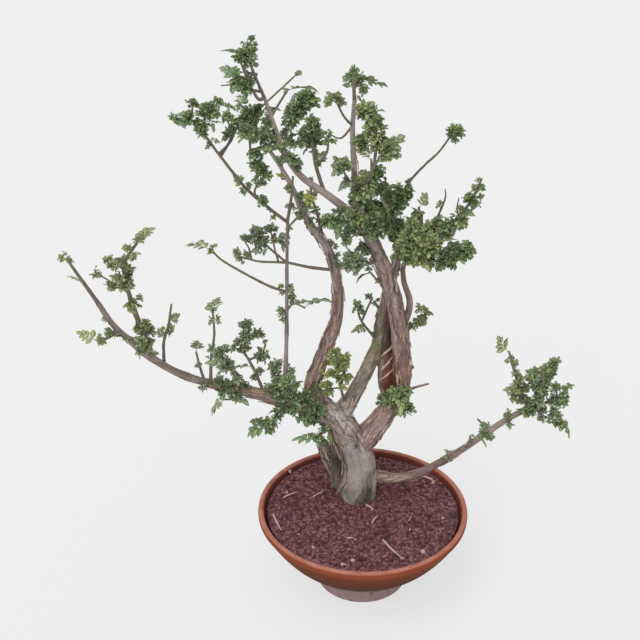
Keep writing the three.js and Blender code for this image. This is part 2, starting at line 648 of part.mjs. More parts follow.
// Where the leaves of a twig stand: spaced along its outer part and turned by the golden angle
function leafPlaces({ line, leaves }, draw) {
  const frames = line.computeFrenetFrames(leaves * 2, false);
  return Array.from({ length: leaves }, (_, i) => {
    const share = leaves === 1 ? LAST_LEAF : THREE.MathUtils.lerp(BARE_TWIG, LAST_LEAF, i / (leaves - 1));
    const frame = Math.round(share * leaves * 2);
    return {
      root: line.getPointAt(share),
      tangent: frames.tangents[frame],
      normal: frames.normals[frame],
      binormal: frames.binormals[frame],
      turn: i * GOLDEN_ANGLE + 2 * Math.PI * draw(),
      lean: THREE.MathUtils.lerp(0.35, 0.75, share) + 0.3 * draw(),
      length: (i === leaves - 1 ? LEAF_LENGTH : SIDE_LEAF_LENGTH) * (0.85 + 0.35 * draw()),
      pairs: i === leaves - 1 ? 2 : 1,
      roll: LEAF_ROLL * (2 * draw() - 1),
    };
  });
}

// A leaf at its place, turned on round the twig until it is clear of everything else
function clearLeaf(place, others) {
  for (let attempt = 0; attempt < LEAF_TRIES; attempt++) {
    const turn = place.turn + attempt * TURN_ON;
    const along = place.normal.clone().multiplyScalar(Math.cos(turn));
    along.addScaledVector(place.binormal, Math.sin(turn)).addScaledVector(place.tangent, place.lean);
    along.z = Math.min(along.z + LEAF_LIFT, STEEPEST_LEAF * along.length());
    along.normalize();
    const outer = place.root.clone().addScaledVector(along, BARE_BASE * place.length);
    const room = leafSolid({ ...place, root: outer, along, length: 0.9 * place.length }, LEAF_CLEARANCE);
    if (others.some((other) => meets(room, other))) continue;
    return leafSolid({ ...place, along });
  }
  return null;
}

// Every stem is set out before any leaf, so that the leaves can keep clear of all of them
function makeSprays() {
  const sprays = Object.entries(SPRAYS).map(([name, spray]) => {
    const twigs = twigsOf(spray);
    return { name, twigs, stem: largest(stemOf(twigs, 0).subtract(treeRoom)), leaves: [] };
  });
  const taken = [treeRoom, ...sprays.map(({ stem }) => stem)];
  sprays.forEach((spray, number) => {
    const draw = drawsFrom(number + 1);
    for (const twig of spray.twigs) {
      for (const place of leafPlaces(twig, draw)) {
        const leaf = clearLeaf(place, taken);
        if (!leaf) continue;
        taken.push(leaf);
        spray.leaves.push(leaf);
      }
    }
  });
  return sprays.map(({ name, stem, leaves }) => {
    const whole = largest(joined([stem, ...leaves]).subtract(treeRoom));
    return meshOf(`spray_${name}`, whole, LEAF);
  });
}

const bonsai = new THREE.Group();
bonsai.add(meshOf("pot", makePot(), TERRACOTTA));
holePlaces().forEach((place, i) => {
  bonsai.add(meshOf(`crock_${i + 1}`, makeCrock(place), TERRACOTTA));
});
bonsai.add(meshOf("soil", makeSoil(), SOIL));
bonsai.add(meshOf("tree", tree, BARK));
bonsai.add(...makeSprays());

export default bonsai;
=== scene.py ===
"""Looks of a Bursera fagaroides bonsai in a shallow terracotta bowl.

Lengths are written in millimetres and become metres where a mesh is made. X runs to the right of
the tree's front, Y away from the viewer and Z up, from the centre of the bowl's foot.
"""

from __future__ import annotations

import json
import logging
import math
from dataclasses import dataclass, field, replace
from enum import Enum
from functools import partial
from typing import Callable, Iterator, Sequence

import bpy
import numpy as np
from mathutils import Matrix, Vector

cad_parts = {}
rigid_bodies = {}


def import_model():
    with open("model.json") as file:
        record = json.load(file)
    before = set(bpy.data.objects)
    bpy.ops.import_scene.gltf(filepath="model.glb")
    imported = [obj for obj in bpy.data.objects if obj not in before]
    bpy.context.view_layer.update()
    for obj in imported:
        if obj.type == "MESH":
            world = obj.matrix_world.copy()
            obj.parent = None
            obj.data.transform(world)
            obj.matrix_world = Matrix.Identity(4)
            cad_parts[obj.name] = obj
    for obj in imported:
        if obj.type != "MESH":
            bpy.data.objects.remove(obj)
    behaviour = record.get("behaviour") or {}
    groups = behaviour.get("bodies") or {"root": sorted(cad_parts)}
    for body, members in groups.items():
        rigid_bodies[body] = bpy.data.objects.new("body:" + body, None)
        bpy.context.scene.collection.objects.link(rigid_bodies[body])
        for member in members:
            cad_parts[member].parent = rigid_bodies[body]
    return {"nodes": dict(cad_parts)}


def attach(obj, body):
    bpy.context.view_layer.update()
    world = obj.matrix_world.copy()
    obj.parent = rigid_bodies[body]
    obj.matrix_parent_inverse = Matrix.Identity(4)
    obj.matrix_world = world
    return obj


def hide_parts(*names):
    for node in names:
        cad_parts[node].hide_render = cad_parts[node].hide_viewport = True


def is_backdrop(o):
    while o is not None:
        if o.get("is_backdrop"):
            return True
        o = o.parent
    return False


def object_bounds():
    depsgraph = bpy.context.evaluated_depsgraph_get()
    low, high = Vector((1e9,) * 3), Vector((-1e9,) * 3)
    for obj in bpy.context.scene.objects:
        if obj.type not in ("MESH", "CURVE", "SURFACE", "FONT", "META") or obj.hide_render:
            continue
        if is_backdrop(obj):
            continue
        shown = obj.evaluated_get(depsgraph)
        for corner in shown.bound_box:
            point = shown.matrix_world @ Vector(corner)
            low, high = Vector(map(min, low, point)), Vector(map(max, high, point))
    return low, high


Array = np.ndarray
Point = tuple[float, float, float]
FlatPoint = tuple[float, float]
Colour = tuple[float, float, float]
Shape = Callable[[Array, Array, Array], Array]
Draws = np.random.Generator
Material = bpy.types.Material
Piece = bpy.types.Object

MM = 0.001
BODY = "root"
GOLDEN_ANGLE = math.pi * (3 - math.sqrt(5))
LOG = logging.getLogger("bonsai")

# The bowl and its soil, as the solids have them
RIM_RADIUS = 140
POT_HEIGHT = 115
LIP_WIDTH = 8
LIP_DEPTH = 11
WALL = 7
FOOT_RADIUS = 62
FOOT_HEIGHT = 36
FOOT_FLARE = 0.08
FOOT_STEP = 2
WALL_CURVE = 0.5
FLOOR = 12
HOLE_RADIUS = 6
HOLE_CIRCLE = 34
HOLES = 3
SOIL_LEVEL = 104
TRUNK_FOOT = (-5.0, 43.0)
UNDERSIDE = 1.2

# The solids' leaves, which the fine ones follow
LEAF_LENGTH = 29
SIDE_LEAF_LENGTH = 23
LEAF_THICKNESS = 0.7
LEAF_DROOP = 0.011
LEAF_FOLD = 0.22
LEAF_ROLL = 0.9
LEAF_LIFT = 0.25
STEEPEST_LEAF = 0.8
BARE_TWIG = 0.42
LAST_LEAF = 0.97
LEAF_TRIES = 9
TURN_ON = 0.8
SAME_POINT = 0.2

# The loose granules that lie on the solid's soil
TOP_DRESSING = 5.0

# Small leaves in a clump for each square millimetre of its reach squared
LEAVES_PER_REACH = 0.27

# Where the circles of a limb's rounded end lie, in degrees of a quarter turn
TIP_CIRCLES = (30, 55, 75)

# What seeds the random draws; a spray and a spur add their place in their table
SPRAY_SEED = 1000
SPUR_SEED = 3000
SOIL_SEED = 71
STRAW_SEED = 83
FLAKE_SEED = 97


class Tint(Enum):
    """The greens that the tree's leaves come in, as the share of yellow and the share of grey."""

    FRESH = (0.08, 0.34)
    DEEP = (0.02, 0.15)
    DUSTY = (0.04, 0.85)
    OLIVE = (0.20, 0.55)
    GOLD = (0.34, 0.42)
    YELLOW = (0.75, 0.10)


FRESH, DEEP, DUSTY, OLIVE, GOLD, YELLOW = Tint


@dataclass(frozen=True)
class Limb:
    """A branch of wood: it starts so many points along its parent's line and tapers along its own.

    Attributes:
        parent: The branch that it grows from, or None for one that rises from the soil.
        at: Where it starts, counted in points along the parent.
        radii: Its radius at even steps from its root to its end.
        path: The points that its centre line passes through.
    """

    parent: str | None
    at: float
    radii: tuple[float, ...]
    path: tuple[Point, ...]


@dataclass(frozen=True)
class Twig:
    """A thin twig. A spray's first one grows from a limb and the others from the first.

    Attributes:
        at: Where it starts, counted in points along what it grows from.
        path: The points that its centre line passes through.
        clumps: The reach of each clump of small leaves, by its share of the way along.
        leaves: How many large leaves it was to bear in the solid, which lacks a twig without any.
        radii: Its radius at its root and at its tip.
    """

    at: float
    path: list[Point]
    clumps: dict[float, float]
    leaves: int = 0
    radii: tuple[float, float] = (1.4, 1.1)


# The wood. A branch starts on its parent, so many of the parent's points along it
LIMBS = {
    "trunk": Limb(None, 0, (20, 25, 24, 21.5, 20, 20, 15), (
        (-5, 44, 62), (-5, 43, 104), (-4, 42, 130), (-5, 40, 160), (-15, 38, 190), (-28, 36, 217),
        (-40, 34, 240))),
    "root_right": Limb(None, 0, (4.5, 3.8, 3.4, 3.2, 2.6), (
        (10, 27, 94), (15, 26, 108), (16, 28, 126), (16, 31, 145), (14, 35, 168))),
    "root_left": Limb(None, 0, (7, 7, 5), ((-24, 40, 88), (-27, 42, 104), (-22, 44, 134))),
    "old_stub": Limb(None, 0, (10, 9.5, 9, 7.5), (
        (-20, 52, 100), (-36, 55, 132), (-48, 58, 158), (-54, 60, 175))),
    "bough_left": Limb("trunk", 5.2, (15, 12, 10, 8.2, 6.5, 5.2, 4.6, 4.8, 4, 3.4, 3), (
        (-60, 30, 244), (-85, 26, 258), (-125, 18, 275), (-165, 6, 294), (-202, -6, 310),
        (-233, -18, 330), (-263, -32, 360), (-284, -42, 388), (-300, -54, 416), (-312, -66, 450))),
    "bough_mid": Limb("trunk", 5.3, (14, 11.5, 9.2, 8, 7.2, 6.8, 5.8, 5, 4.2, 3.4, 2.8, 2.4), (
        (-66, 46, 263), (-56, 60, 304), (-40, 72, 345), (-34, 82, 380), (-37, 88, 414), (-48, 92, 450),
        (-66, 94, 477), (-80, 92, 502), (-90, 88, 530), (-105, 86, 560), (-123, 88, 588))),
    "bough_back": Limb("trunk", 5.5, (13, 9.6, 8.6, 8, 7.8, 7, 6, 5, 4.4, 3.8, 3), (
        (-15, 44, 258), (2, 54, 289), (18, 64, 325), (23, 72, 357), (29, 78, 388), (36, 82, 415),
        (41, 82, 440), (40, 80, 468), (30, 82, 502), (18, 88, 528))),
    "leader": Limb("trunk", 3.7, (
        17, 15, 13, 11.6, 11, 11, 10.6, 9.8, 9, 7.8, 5, 4.3, 3.8, 3.3, 2.8, 2.4, 2.1), (
        (12, 44, 205), (31, 50, 230), (47, 50, 256), (50, 46, 293), (47, 40, 336), (40, 32, 382),
        (31, 22, 424), (18, 12, 462), (4, 4, 498), (-20, -2, 533), (-52, -8, 562), (-76, -12, 581),
        (-91, -16, 601), (-101, -20, 625), (-110, -24, 654), (-118, -28, 680))),
    "spire": Limb("leader", 8.9, (6, 4.4, 3.6, 3, 2.6), (
        (-14, 8, 549), (-18, 16, 585), (-20, 24, 628), (-18, 30, 660))),
    "wand": Limb("bough_left", 2.5, (4.2, 2.7, 2.5, 2.3, 2.1), (
        (-100, 16, 342), (-98, 10, 416), (-97, 4, 470), (-95, -4, 530))),
    "right_stem": Limb("leader", 5.4, (4.8, 4.2, 3.6, 3.2, 3, 2.8, 2.6), (
        (56, 44, 394), (48, 54, 422), (48, 58, 444), (61, 54, 458), (80, 46, 472), (95, 38, 491))),
    "bough_right": Limb("trunk", 2.3, (8.5, 7.2, 6.4, 5.6, 4.8, 4.3, 4, 3.7, 3.2), (
        (27, 32, 139), (51, 20, 145), (76, 8, 163), (102, -2, 187), (129, -12, 215), (155, -24, 247),
        (180, -36, 277), (203, -48, 299))),
    "cut_peg": Limb("leader", 4, (3, 2.4), ((64, 48, 301),)),
    "dry_twig": Limb("leader", 3.1, (2, 1.5), ((66, 42, 273), (84, 34, 284))),
    "inner_bark": Limb("leader", 2.5, (7, 11.5, 11, 7.5, 4.5, 2.4), (
        (31, 54, 275), (30, 56, 305), (32, 57, 340), (32, 60, 372), (29, 64, 398))),
    "stub_web": Limb(None, 0, (8, 7, 6, 4.5, 3), (
        (-33, 50, 112), (-33, 46, 140), (-35, 45, 162), (-39, 45, 184), (-43, 44, 204))),
}

# How thick a bare shoot is at its root and its tip
BARE = (1.5, 0.8)

# The limb, the green and the twigs of each leafy spray, in the order that seeds their draws
SPRAYS: dict[str, tuple[str, Tint, list[Twig]]] = {
    "left_tip": ("bough_left", OLIVE, [Twig(9.96, [(-325, -77, 484), (-337, -86, 514)], {1: 8}, 3,
        (2.8, 1.8))]),
    "left_rise": ("bough_left", OLIVE, [Twig(7.1, [(-270, -40, 404), (-276, -50, 440), (-279, -57, 470),
        (-278, -62, 498), (-260, -66, 527)], {0.08: 10, 0.17: 12, 0.26: 11, 0.46: 11, 0.64: 11, 0.72: 12,
        0.8: 9, 0.9: 10, 1: 8}, 7, (4.2, 1.8)), Twig(2.6, [(-300, -62, 478), (-313, -60, 486)], {1: 8}, 0,
        (1.2, 0.9)), Twig(2.9, [(-296, -57, 465)], {0.6: 6, 1: 8}), Twig(3.9, [(-296, -62, 498)], {0.6: 7,
        1: 9}), Twig(0.8, [(-258, -38, 398)], {1: 6})]),
    "left_stub": ("bough_left", OLIVE, [Twig(8.7, [(-305, -64, 404), (-316, -74, 405)], {0.5: 8, 0.95: 8},
        1, (3, 1.6))]),
    "left_twig_low": ("bough_left", OLIVE, [Twig(6.5, [(-249, -10, 369), (-244, 2, 386), (-240, 12, 410)],
        {0.55: 6, 0.62: 8}, 3, (2.2, 1.5))]),
    "left_twig_bare": ("bough_left", DUSTY, [Twig(5, [(-209, 8, 324), (-214, 18, 340)], {0.5: 5}, 1,
        (2, 1.5))]),
    "left_twig_tall": ("bough_left", DUSTY, [Twig(4.8, [(-195, 14, 332), (-191, 26, 360), (-192, 34, 388)],
        {0.36: 4, 0.5: 6, 0.88: 7, 1: 5}, 3, (2.3, 1.5))]),
    "left_twig_bushy": ("bough_left", DUSTY, [Twig(3.1, [(-139, 34, 296), (-150, 46, 313), (-160, 54, 329),
        (-156, 60, 352)], {0.3: 10, 0.7: 11, 0.85: 12, 1: 12}, 3, (2.4, 1.5)), Twig(2, [(-134, 50, 318),
        (-128, 56, 330)], {0.5: 11, 1: 4}, 1, (1.8, 1.5)), Twig(2.9, [(-150, 54, 338), (-139, 56, 342)],
        {0.5: 9, 1: 11}), Twig(2.5, [(-170, 54, 328)], {0.9: 10})]),
    "left_twig_front": ("bough_left", DUSTY, [Twig(3.8, [(-158, -12, 322), (-170, -28, 345),
        (-176, -40, 368)], {0.6: 4, 0.8: 12, 1: 12}, 3, (2.2, 1.5))]),
    "left_twig_back": ("bough_left", DUSTY, [Twig(2.7, [(-110, 36, 284), (-115, 48, 304)], {0.3: 10,
        0.6: 11, 0.95: 12}, 2, (2, 1.5))]),
    "left_hang": ("bough_left", DEEP, [Twig(2.4, [(-113, 6, 254), (-125, -8, 246)], {0.2: 9, 0.55: 9,
        0.85: 11, 1: 11}, 3, (2, 1.5)), Twig(1.9, [(-138, -8, 252)], {1: 9})]),
    "left_under": ("bough_left", DUSTY, [Twig(4.1, [(-166, -12, 290), (-178, -22, 294)], {0.5: 8, 1: 4}, 2,
        (1.9, 1.5))]),
    "left_front": ("bough_left", DEEP, [Twig(2, [(-91, 8, 284), (-96, -6, 308)], {0.2: 10, 0.5: 11,
        0.9: 13}, 2, (1.9, 1.5))]),
    "wand_arm": ("wand", DEEP, [Twig(3.9, [(-116, -12, 545), (-142, -22, 574), (-167, -34, 614),
        (-182, -42, 640), (-197, -48, 659)], {0.12: 4, 0.24: 9, 0.4: 7, 0.8: 6, 0.92: 10, 1: 11}, 2,
        (2.2, 1.5)), Twig(3, [(-154, -20, 633), (-143, -8, 650), (-124, -2, 656)], {0.35: 11, 0.6: 11,
        0.78: 11, 0.9: 10, 1: 8}, 3, (1.7, 1.5)), Twig(4, [(-180, -52, 664), (-166, -60, 680)], {0.25: 11,
        0.5: 13, 0.75: 12, 1: 8}, 1, (1.7, 1.5)), Twig(1.6, [(-130, -32, 576), (-120, -40, 594)], {0.7: 9,
        1: 12}, 1, (1.5, 1.2)), Twig(3.1, [(-154, -22, 632), (-160, -14, 650)], {1: 10}), Twig(4.9,
        [(-193, -48, 677)], {1: 9}), Twig(4.9, [(-214, -48, 663)], {0.6: 8, 1: 8})]),
    "wand_top": ("wand", FRESH, [Twig(3.94, [(-90, -10, 560), (-88, -14, 584)], {0.3: 6, 0.7: 6}, 1,
        (2, 1.5))]),
    "wand_spur": ("wand", DUSTY, [Twig(1.8, [(-89, 2, 416), (-76, -6, 414)], {}, 2, (1.8, 1.5))]),
    "wand_thin": ("wand", OLIVE, [Twig(2.2, [(-120, 0, 441), (-151, -12, 465), (-173, -20, 484),
        (-185, -26, 501)], {0.05: 6, 0.95: 7}, 1, (1.8, 1.5))]),
    "mid_top": ("bough_mid", DEEP, [Twig(10.94, [(-140, 92, 616), (-152, 98, 634)], {0.35: 8, 0.6: 11,
        0.8: 7, 1: 6}, 2, (2.3, 1.5)), Twig(0.2, [(-116, 80, 624), (-95, 70, 662)], {0.2: 8, 0.95: 3}, 1,
        (1.7, 1.5)), Twig(1.2, [(-85, 74, 678)], {1: 5})]),
    "mid_cross": ("bough_mid", DUSTY, [Twig(5.2, [(-70, 98, 421), (-101, 106, 424), (-136, 112, 423),
        (-162, 116, 428)], {0.97: 11}, 1, (2.4, 1.5)), Twig(2, [(-122, 114, 440), (-138, 120, 454),
        (-145, 128, 468)], {0.58: 10, 0.75: 13, 0.92: 6}, 3, (1.8, 1.5)), Twig(2.3, [(-116, 112, 440),
        (-121, 118, 463)], {0.7: 9, 1: 11}), Twig(3.4, [(-150, 116, 440), (-156, 118, 450)], {1: 10})]),
    "mid_back": ("bough_mid", FRESH, [Twig(6.3, [(-60, 112, 486), (-68, 126, 508), (-70, 136, 528)],
        {0.3: 8, 0.5: 6, 0.78: 8, 0.95: 6}, 3, (2.4, 1.5))]),
    "mid_side": ("bough_mid", FRESH, [Twig(7.9, [(-90, 108, 482), (-100, 120, 466)], {0.95: 4}, 1,
        (1.8, 1.5))]),
    "mid_fork": ("bough_mid", DEEP, [Twig(10, [(-101, 98, 588), (-95, 108, 610), (-82, 114, 632)], {0.12: 5,
        0.45: 10, 0.6: 10, 0.78: 13, 0.9: 14, 1: 14}, 3, (2, 1.5)), Twig(1, [(-84, 98, 586)], {0.6: 7,
        1: 9}), Twig(2.9, [(-71, 114, 638)], {0.8: 12, 1: 14})]),
    "leader_top": ("leader", DEEP, [Twig(15.94, [(-126, -32, 701), (-134, -34, 724)], {0.75: 4, 0.95: 11,
        1: 12}, 2, (2, 1.5)), Twig(0.3, [(-136, -40, 692), (-146, -46, 704)], {0.5: 12, 0.95: 12}, 1,
        (1.7, 1.5)), Twig(1.9, [(-131, -34, 738)], {1: 9}), Twig(0, [(-124, -38, 680), (-134, -42, 702),
        (-142, -38, 722)], {1: 8}, 0, (2, 1.4)), Twig(0.9, [(-146, -46, 698), (-162, -48, 697)], {0.5: 8},
        0, BARE)]),
    "leader_left": ("leader", DEEP, [Twig(13.2, [(-116, -32, 637), (-136, -42, 640)], {0.6: 11, 0.85: 12,
        1: 12}, 1, (1.8, 1.5)), Twig(1.9, [(-133, -41, 622), (-129, -40, 610)], {0.6: 10, 1: 10}), Twig(0.6,
        [(-134, -52, 655), (-152, -58, 662)], {1: 5}, 0, BARE)]),
    "leader_front": ("leader", FRESH, [Twig(12.2, [(-94, -28, 612), (-104, -42, 628)], {0.5: 6, 1: 9}, 2,
        (1.8, 1.5))]),
    "leader_back": ("leader", FRESH, [Twig(11, [(-62, 4, 590), (-66, 10, 614), (-68, 14, 636)], {0.42: 6,
        0.7: 14, 0.85: 12, 1: 13}, 3, (2.3, 1.5)), Twig(1, [(-50, -8, 610), (-48, -14, 632)], {0.9: 9}, 1,
        (1.6, 1.5))]),
    "spire_top": ("spire", DEEP, [Twig(3.94, [(-20, 34, 690)], {0.85: 8, 1: 6}, 2, (2.4, 1.6)), Twig(0.5,
        [(-8, 44, 678)], {0.9: 12}, 1, (1.6, 1.5))]),
    "spire_left": ("spire", OLIVE, [Twig(3.1, [(-30, 14, 645), (-40, 8, 666)], {0.95: 12}, 1, (1.6, 1.5)),
        Twig(0, [(-33, 40, 612), (-46, 36, 618)], {}, 0, BARE)]),
    "spire_right": ("spire", OLIVE, [Twig(1, [(-4, 0, 570), (4, -6, 594), (18, -10, 614)], {0.08: 12,
        0.2: 13, 0.35: 10, 0.95: 15}, 1, (2.4, 1.5)), Twig(2, [(6, 0, 620), (2, 8, 644), (-9, 14, 654)],
        {0.3: 9, 0.45: 11, 0.6: 12, 0.75: 12, 0.9: 13}, 3, (1.8, 1.5))]),
    "spire_low": ("spire", DUSTY, [Twig(1.3, [(-27, -4, 580), (-32, -14, 594)], {0.45: 8, 0.85: 14}, 2,
        (1.8, 1.5))]),
    "back_twig": ("bough_back", DEEP, [Twig(3.1, [(-4, 56, 364), (-10, 46, 388)], {0.9: 10}, 2, (1.9, 1.5)),
        Twig(1, [(8, 52, 398)], {0.95: 9}, 1, (1.6, 1.5))]),
    "back_top": ("bough_back", DEEP, [Twig(9.94, [(8, 96, 548), (6, 102, 566)], {0.1: 14, 0.35: 13,
        0.6: 12}, 2, (2.6, 1.5))]),
    "back_mass": ("bough_back", DEEP, [Twig(8.4, [(12, 98, 496), (-10, 114, 506)], {0.15: 14, 0.35: 15,
        0.55: 16, 0.75: 17, 0.95: 16}, 3, (2.4, 1.5))]),
    "back_long": ("bough_back", DEEP, [Twig(8.9, [(42, 92, 518), (54, 98, 538), (72, 92, 562),
        (88, 84, 582), (100, 78, 604)], {0.08: 14, 0.18: 13, 0.27: 13, 0.35: 7, 0.98: 12}, 2, (2, 1.5)),
        Twig(4.9, [(111, 78, 605)], {0.9: 10})]),
    "low_spray": ("bough_back", GOLD, [Twig(0.6, [(-30, 22, 285), (-27, 10, 320), (-38, 2, 345)], {0.5: 11,
        0.7: 13, 0.85: 12, 1: 10}, 2, (2, 1.5)), Twig(1.4, [(-42, 16, 306)], {1: 11}), Twig(1,
        [(-50, 24, 282)], {0.8: 11, 1: 10})]),
    "right_top": ("right_stem", FRESH, [Twig(5.94, [(104, 32, 511), (117, 26, 532), (126, 20, 554),
        (131, 18, 570)], {0.1: 11, 0.22: 12, 0.34: 12, 0.46: 7, 0.6: 10, 0.72: 10, 0.84: 9, 0.95: 4}, 3,
        (2.5, 1.5)), Twig(1.4, [(106, 28, 528), (107, 27, 543)], {}, 0, BARE)]),
    "right_arm": ("right_stem", DEEP, [Twig(4.1, [(84, 40, 456), (104, 30, 464), (122, 22, 480)], {0.25: 13,
        0.45: 14, 0.62: 15, 0.8: 16, 0.97: 13}, 3, (2.2, 1.5))]),
    "right_back": ("right_stem", FRESH, [Twig(3.4, [(62, 70, 468), (70, 80, 490), (66, 88, 508)], {0.25: 12,
        0.45: 13, 0.65: 13, 0.85: 12}, 2, (2.2, 1.5)), Twig(0, [(49, 34, 474), (42, 28, 517)], {}, 0, BARE),
        Twig(0, [(56, 32, 482), (58, 26, 512)], {}, 0, BARE), Twig(0, [(36, 36, 478), (24, 38, 520)], {}, 0,
        BARE)]),
    "right_mid": ("right_stem", OLIVE, [Twig(5, [(80, 58, 484), (88, 66, 504)], {0.25: 13, 0.55: 14,
        0.85: 11}, 2, (1.8, 1.5)), Twig(0, [(66, 32, 458), (88, 22, 468), (104, 16, 505)], {}, 0, BARE),
        Twig(2, [(95, 60, 530), (94, 58, 543)], {0.4: 6}, 0, BARE)]),
    "right_front": ("leader", OLIVE, [Twig(6.9, [(36, 2, 474), (46, -14, 502), (48, -24, 528)], {0.56: 11,
        0.7: 14, 0.84: 14, 0.97: 13}, 2, (2.6, 1.5)), Twig(1, [(54, -14, 488), (76, -26, 506)], {0.3: 10,
        0.6: 14, 0.95: 14}, 2, (1.8, 1.5))]),
    "right_leaf": ("leader", OLIVE, [Twig(5.3, [(62, 40, 368), (72, 44, 380)], {0.45: 7, 0.7: 11, 0.95: 12},
        2, (2, 1.5))]),
    "right_low": ("leader", FRESH, [Twig(2.9, [(44, 32, 262), (46, 22, 274)], {0.4: 14, 0.7: 15, 0.98: 14},
        2, (2.2, 1.5)), Twig(0.9, [(56, 33, 244)], {0.8: 12}), Twig(0.8, [(30, 33, 264)], {1: 10})]),
    "front_left": ("leader", DUSTY, [Twig(8.3, [(-2, -12, 474), (-18, -26, 484)], {0.8: 12, 1: 14}, 3,
        (2.4, 1.5))]),
    "front_high": ("leader", FRESH, [Twig(9.1, [(-8, -18, 518), (-18, -34, 538)], {0.3: 11, 0.6: 11,
        0.95: 13}, 3, (2.2, 1.5)), Twig(1.2, [(-23, -21, 511)], {1: 11})]),
    "front_low": ("leader", DUSTY, [Twig(6.8, [(12, 4, 446), (2, -6, 462)], {0.97: 4}, 1, (1.8, 1.5))]),
    "front_arm": ("leader", DEEP, [Twig(10.3, [(-36, -22, 540), (-44, -36, 540)], {0.4: 9, 0.95: 14}, 2,
        (2, 1.5))]),
    "right_end_up": ("bough_right", OLIVE, [Twig(7.8, [(186, -40, 325), (176, -32, 352), (172, -28, 366)],
        {0.2: 9, 0.34: 10, 0.48: 10, 0.62: 9, 0.76: 7, 0.88: 6}, 2, (2.2, 1.5)), Twig(0.5, [(176, -56, 322),
        (172, -64, 334)], {0.45: 9, 0.95: 8}, 1, (1.7, 1.5)), Twig(0.9, [(200, -40, 329)], {0.7: 8,
        1: 10})]),
    "right_end_bare": ("bough_right", FRESH, [Twig(7.94, [(210, -60, 336), (205, -66, 366)], {0.22: 11,
        0.4: 11}, 2, (2.2, 1.5)), Twig(0.5, [(216, -46, 334), (226, -40, 352)], {0.25: 11, 0.55: 9, 0.8: 12,
        0.97: 11}, 1, (1.7, 1.5)), Twig(1.3, [(197, -60, 352)], {0.9: 10})]),
    "right_end_out": ("bough_right", FRESH, [Twig(7.6, [(222, -52, 310), (244, -58, 320)], {0.15: 10,
        0.4: 9, 0.65: 11, 0.88: 10}, 2, (2, 1.5)), Twig(0.4, [(214, -60, 294), (236, -66, 290)], {0.3: 9,
        0.7: 9, 0.95: 11}, 1, (1.7, 1.5)), Twig(1.4, [(228, -55, 327)], {0.9: 9}), Twig(1.1,
        [(224, -58, 296)], {0.9: 8}), Twig(1.9, [(240, -52, 331)], {0.9: 9})]),
    "right_bough_front": ("bough_right", OLIVE, [Twig(5, [(132, -26, 232), (132, -32, 246)], {}, 1,
        (1.8, 1.5))]),
    "right_bough_back": ("bough_right", FRESH, [Twig(6, [(153, -8, 246), (146, 2, 250)], {0.4: 6}, 2,
        (1.8, 1.5))]),
    "collar": ("trunk", DEEP, [Twig(5.1, [(-56, 12, 222), (-64, 4, 216)], {0.35: 7, 0.7: 10, 0.95: 12}, 2,
        (2.2, 1.6))]),
}

# Marks on the bark: where each lies and how far it reaches; a knot and a spot of painted shade also have a
# depth
KNOTS = (
    ((-7, 19, 195), 4.5, -2.0),
    ((-12, 17, 128), 7, 1.2),
    ((10, 22, 152), 7, 2.2),
    ((-31, 17, 222), 5, 1.4),
    ((4, 24, 176), 8, 1.0),
)
PEELS = (
    ((-36, 26, 205), 20), ((-22, 24, 168), 14), ((-28, 30, 242), 30), ((24, 32, 226), 14),
    ((-52, 32, 248), 20), ((14, 26, 200), 14), ((12, 24, 130), 14), ((-26, 26, 138), 16),
    ((-60, 60, 300), 30),
)
MOSSES = (
    ((-186, -2, 303), 22), ((-170, 2, 296), 18), ((-103, 20, 266), 18), ((-84, 24, 256), 20),
    ((14, 58, 338), 22), ((10, 60, 318), 16), ((203, -48, 299), 12), ((192, -42, 288), 9),
    ((-46, 50, 158), 26), ((-226, -14, 324), 12), ((106, -2, 192), 10), ((-52, 60, 176), 14),
)
RAWS = (((37, 50, 300), 20), ((40, 50, 278), 15), ((32, 50, 322), 15))
MAUVES = (
    ((44, 44, 258), 26), ((38, 38, 228), 22), ((48, 40, 336), 45), ((34, 26, 410), 45),
    ((-58, 58, 300), 45), ((-40, 72, 350), 45), ((-139, 8, 283), 18), ((-250, -25, 345), 30),
    ((12, 44, 205), 18), ((60, 14, 152), 30), ((-29, 34, 140), 16),
)
# Spots of painted shade on the bark: in crevices, in the crotch and down the leader's left side, and darker
# at the trunk's foot
SHADE_SPOTS = (
    ((-37, 40, 160), 17, 0.5), ((-34, 40, 135), 12, 0.4), ((-30, 26, 200), 8, 0.45),
    ((-24, 24, 180), 7, 0.4), ((-14, 40, 262), 10, 0.3), ((20, 40, 205), 9, 0.35),
    ((17, 27, 150), 7, 0.4), ((-48, 40, 262), 9, 0.3), ((35, 52, 330), 12, 0.8),
    ((36, 50, 350), 12, 0.8), ((33, 50, 370), 10, 0.7), ((-8, 14, 106), 26, 0.5),
)
SMOOTH_FRONT, SMOOTH_REACH = (-8, 20, 160), 30

# Marks on the soil: a painted shadow of red-brown beside the trunk, under the low bough, and grey-green
# grime at the rim
LOW_BOUGH_SHADOW = (48, 26, 105)
GRIME_PATCH = (122, -16, 104)

# How mauve each limb's bark is, how light, and how green with algae
LOOKS = {
    "trunk": (0.06, 1.1, 0.0), "old_stub": (0.5, 0.92, 0.12), "stub_web": (0.5, 0.85, 0.1),
    "bough_mid": (0.45, 1.1, 0.0), "bough_back": (0.35, 1.14, 0.4), "bough_left": (0.6, 1.04, 0.15),
    "wand": (0.3, 0.74, 0.0), "bough_right": (0.75, 0.86, 0.0), "leader": (0.65, 1.0, 0.0),
}
PLAIN_LOOK = (0.55, 0.95, 0.0)

# A leaflet's ring of points: the way across, the share of its thickness, its fold and its rib
LENS = ((1, 0, 0.35, 0), (0, 0.5, 0, 1), (-1, 0, 0.35, 0), (0, -0.5, 0, 1))


def unit(vectors: Array) -> Array:
    """The vectors at length one."""
    return vectors / np.linalg.norm(vectors, axis=-1, keepdims=True)


def smooth_step(values: Array, low: float, high: float) -> Array:
    """From 0 at low to 1 at high, by the cubic 3s^2 - 2s^3 of the share s between them."""
    share = np.clip((values - low) / (high - low), 0, 1)
    return share * share * (3 - 2 * share)


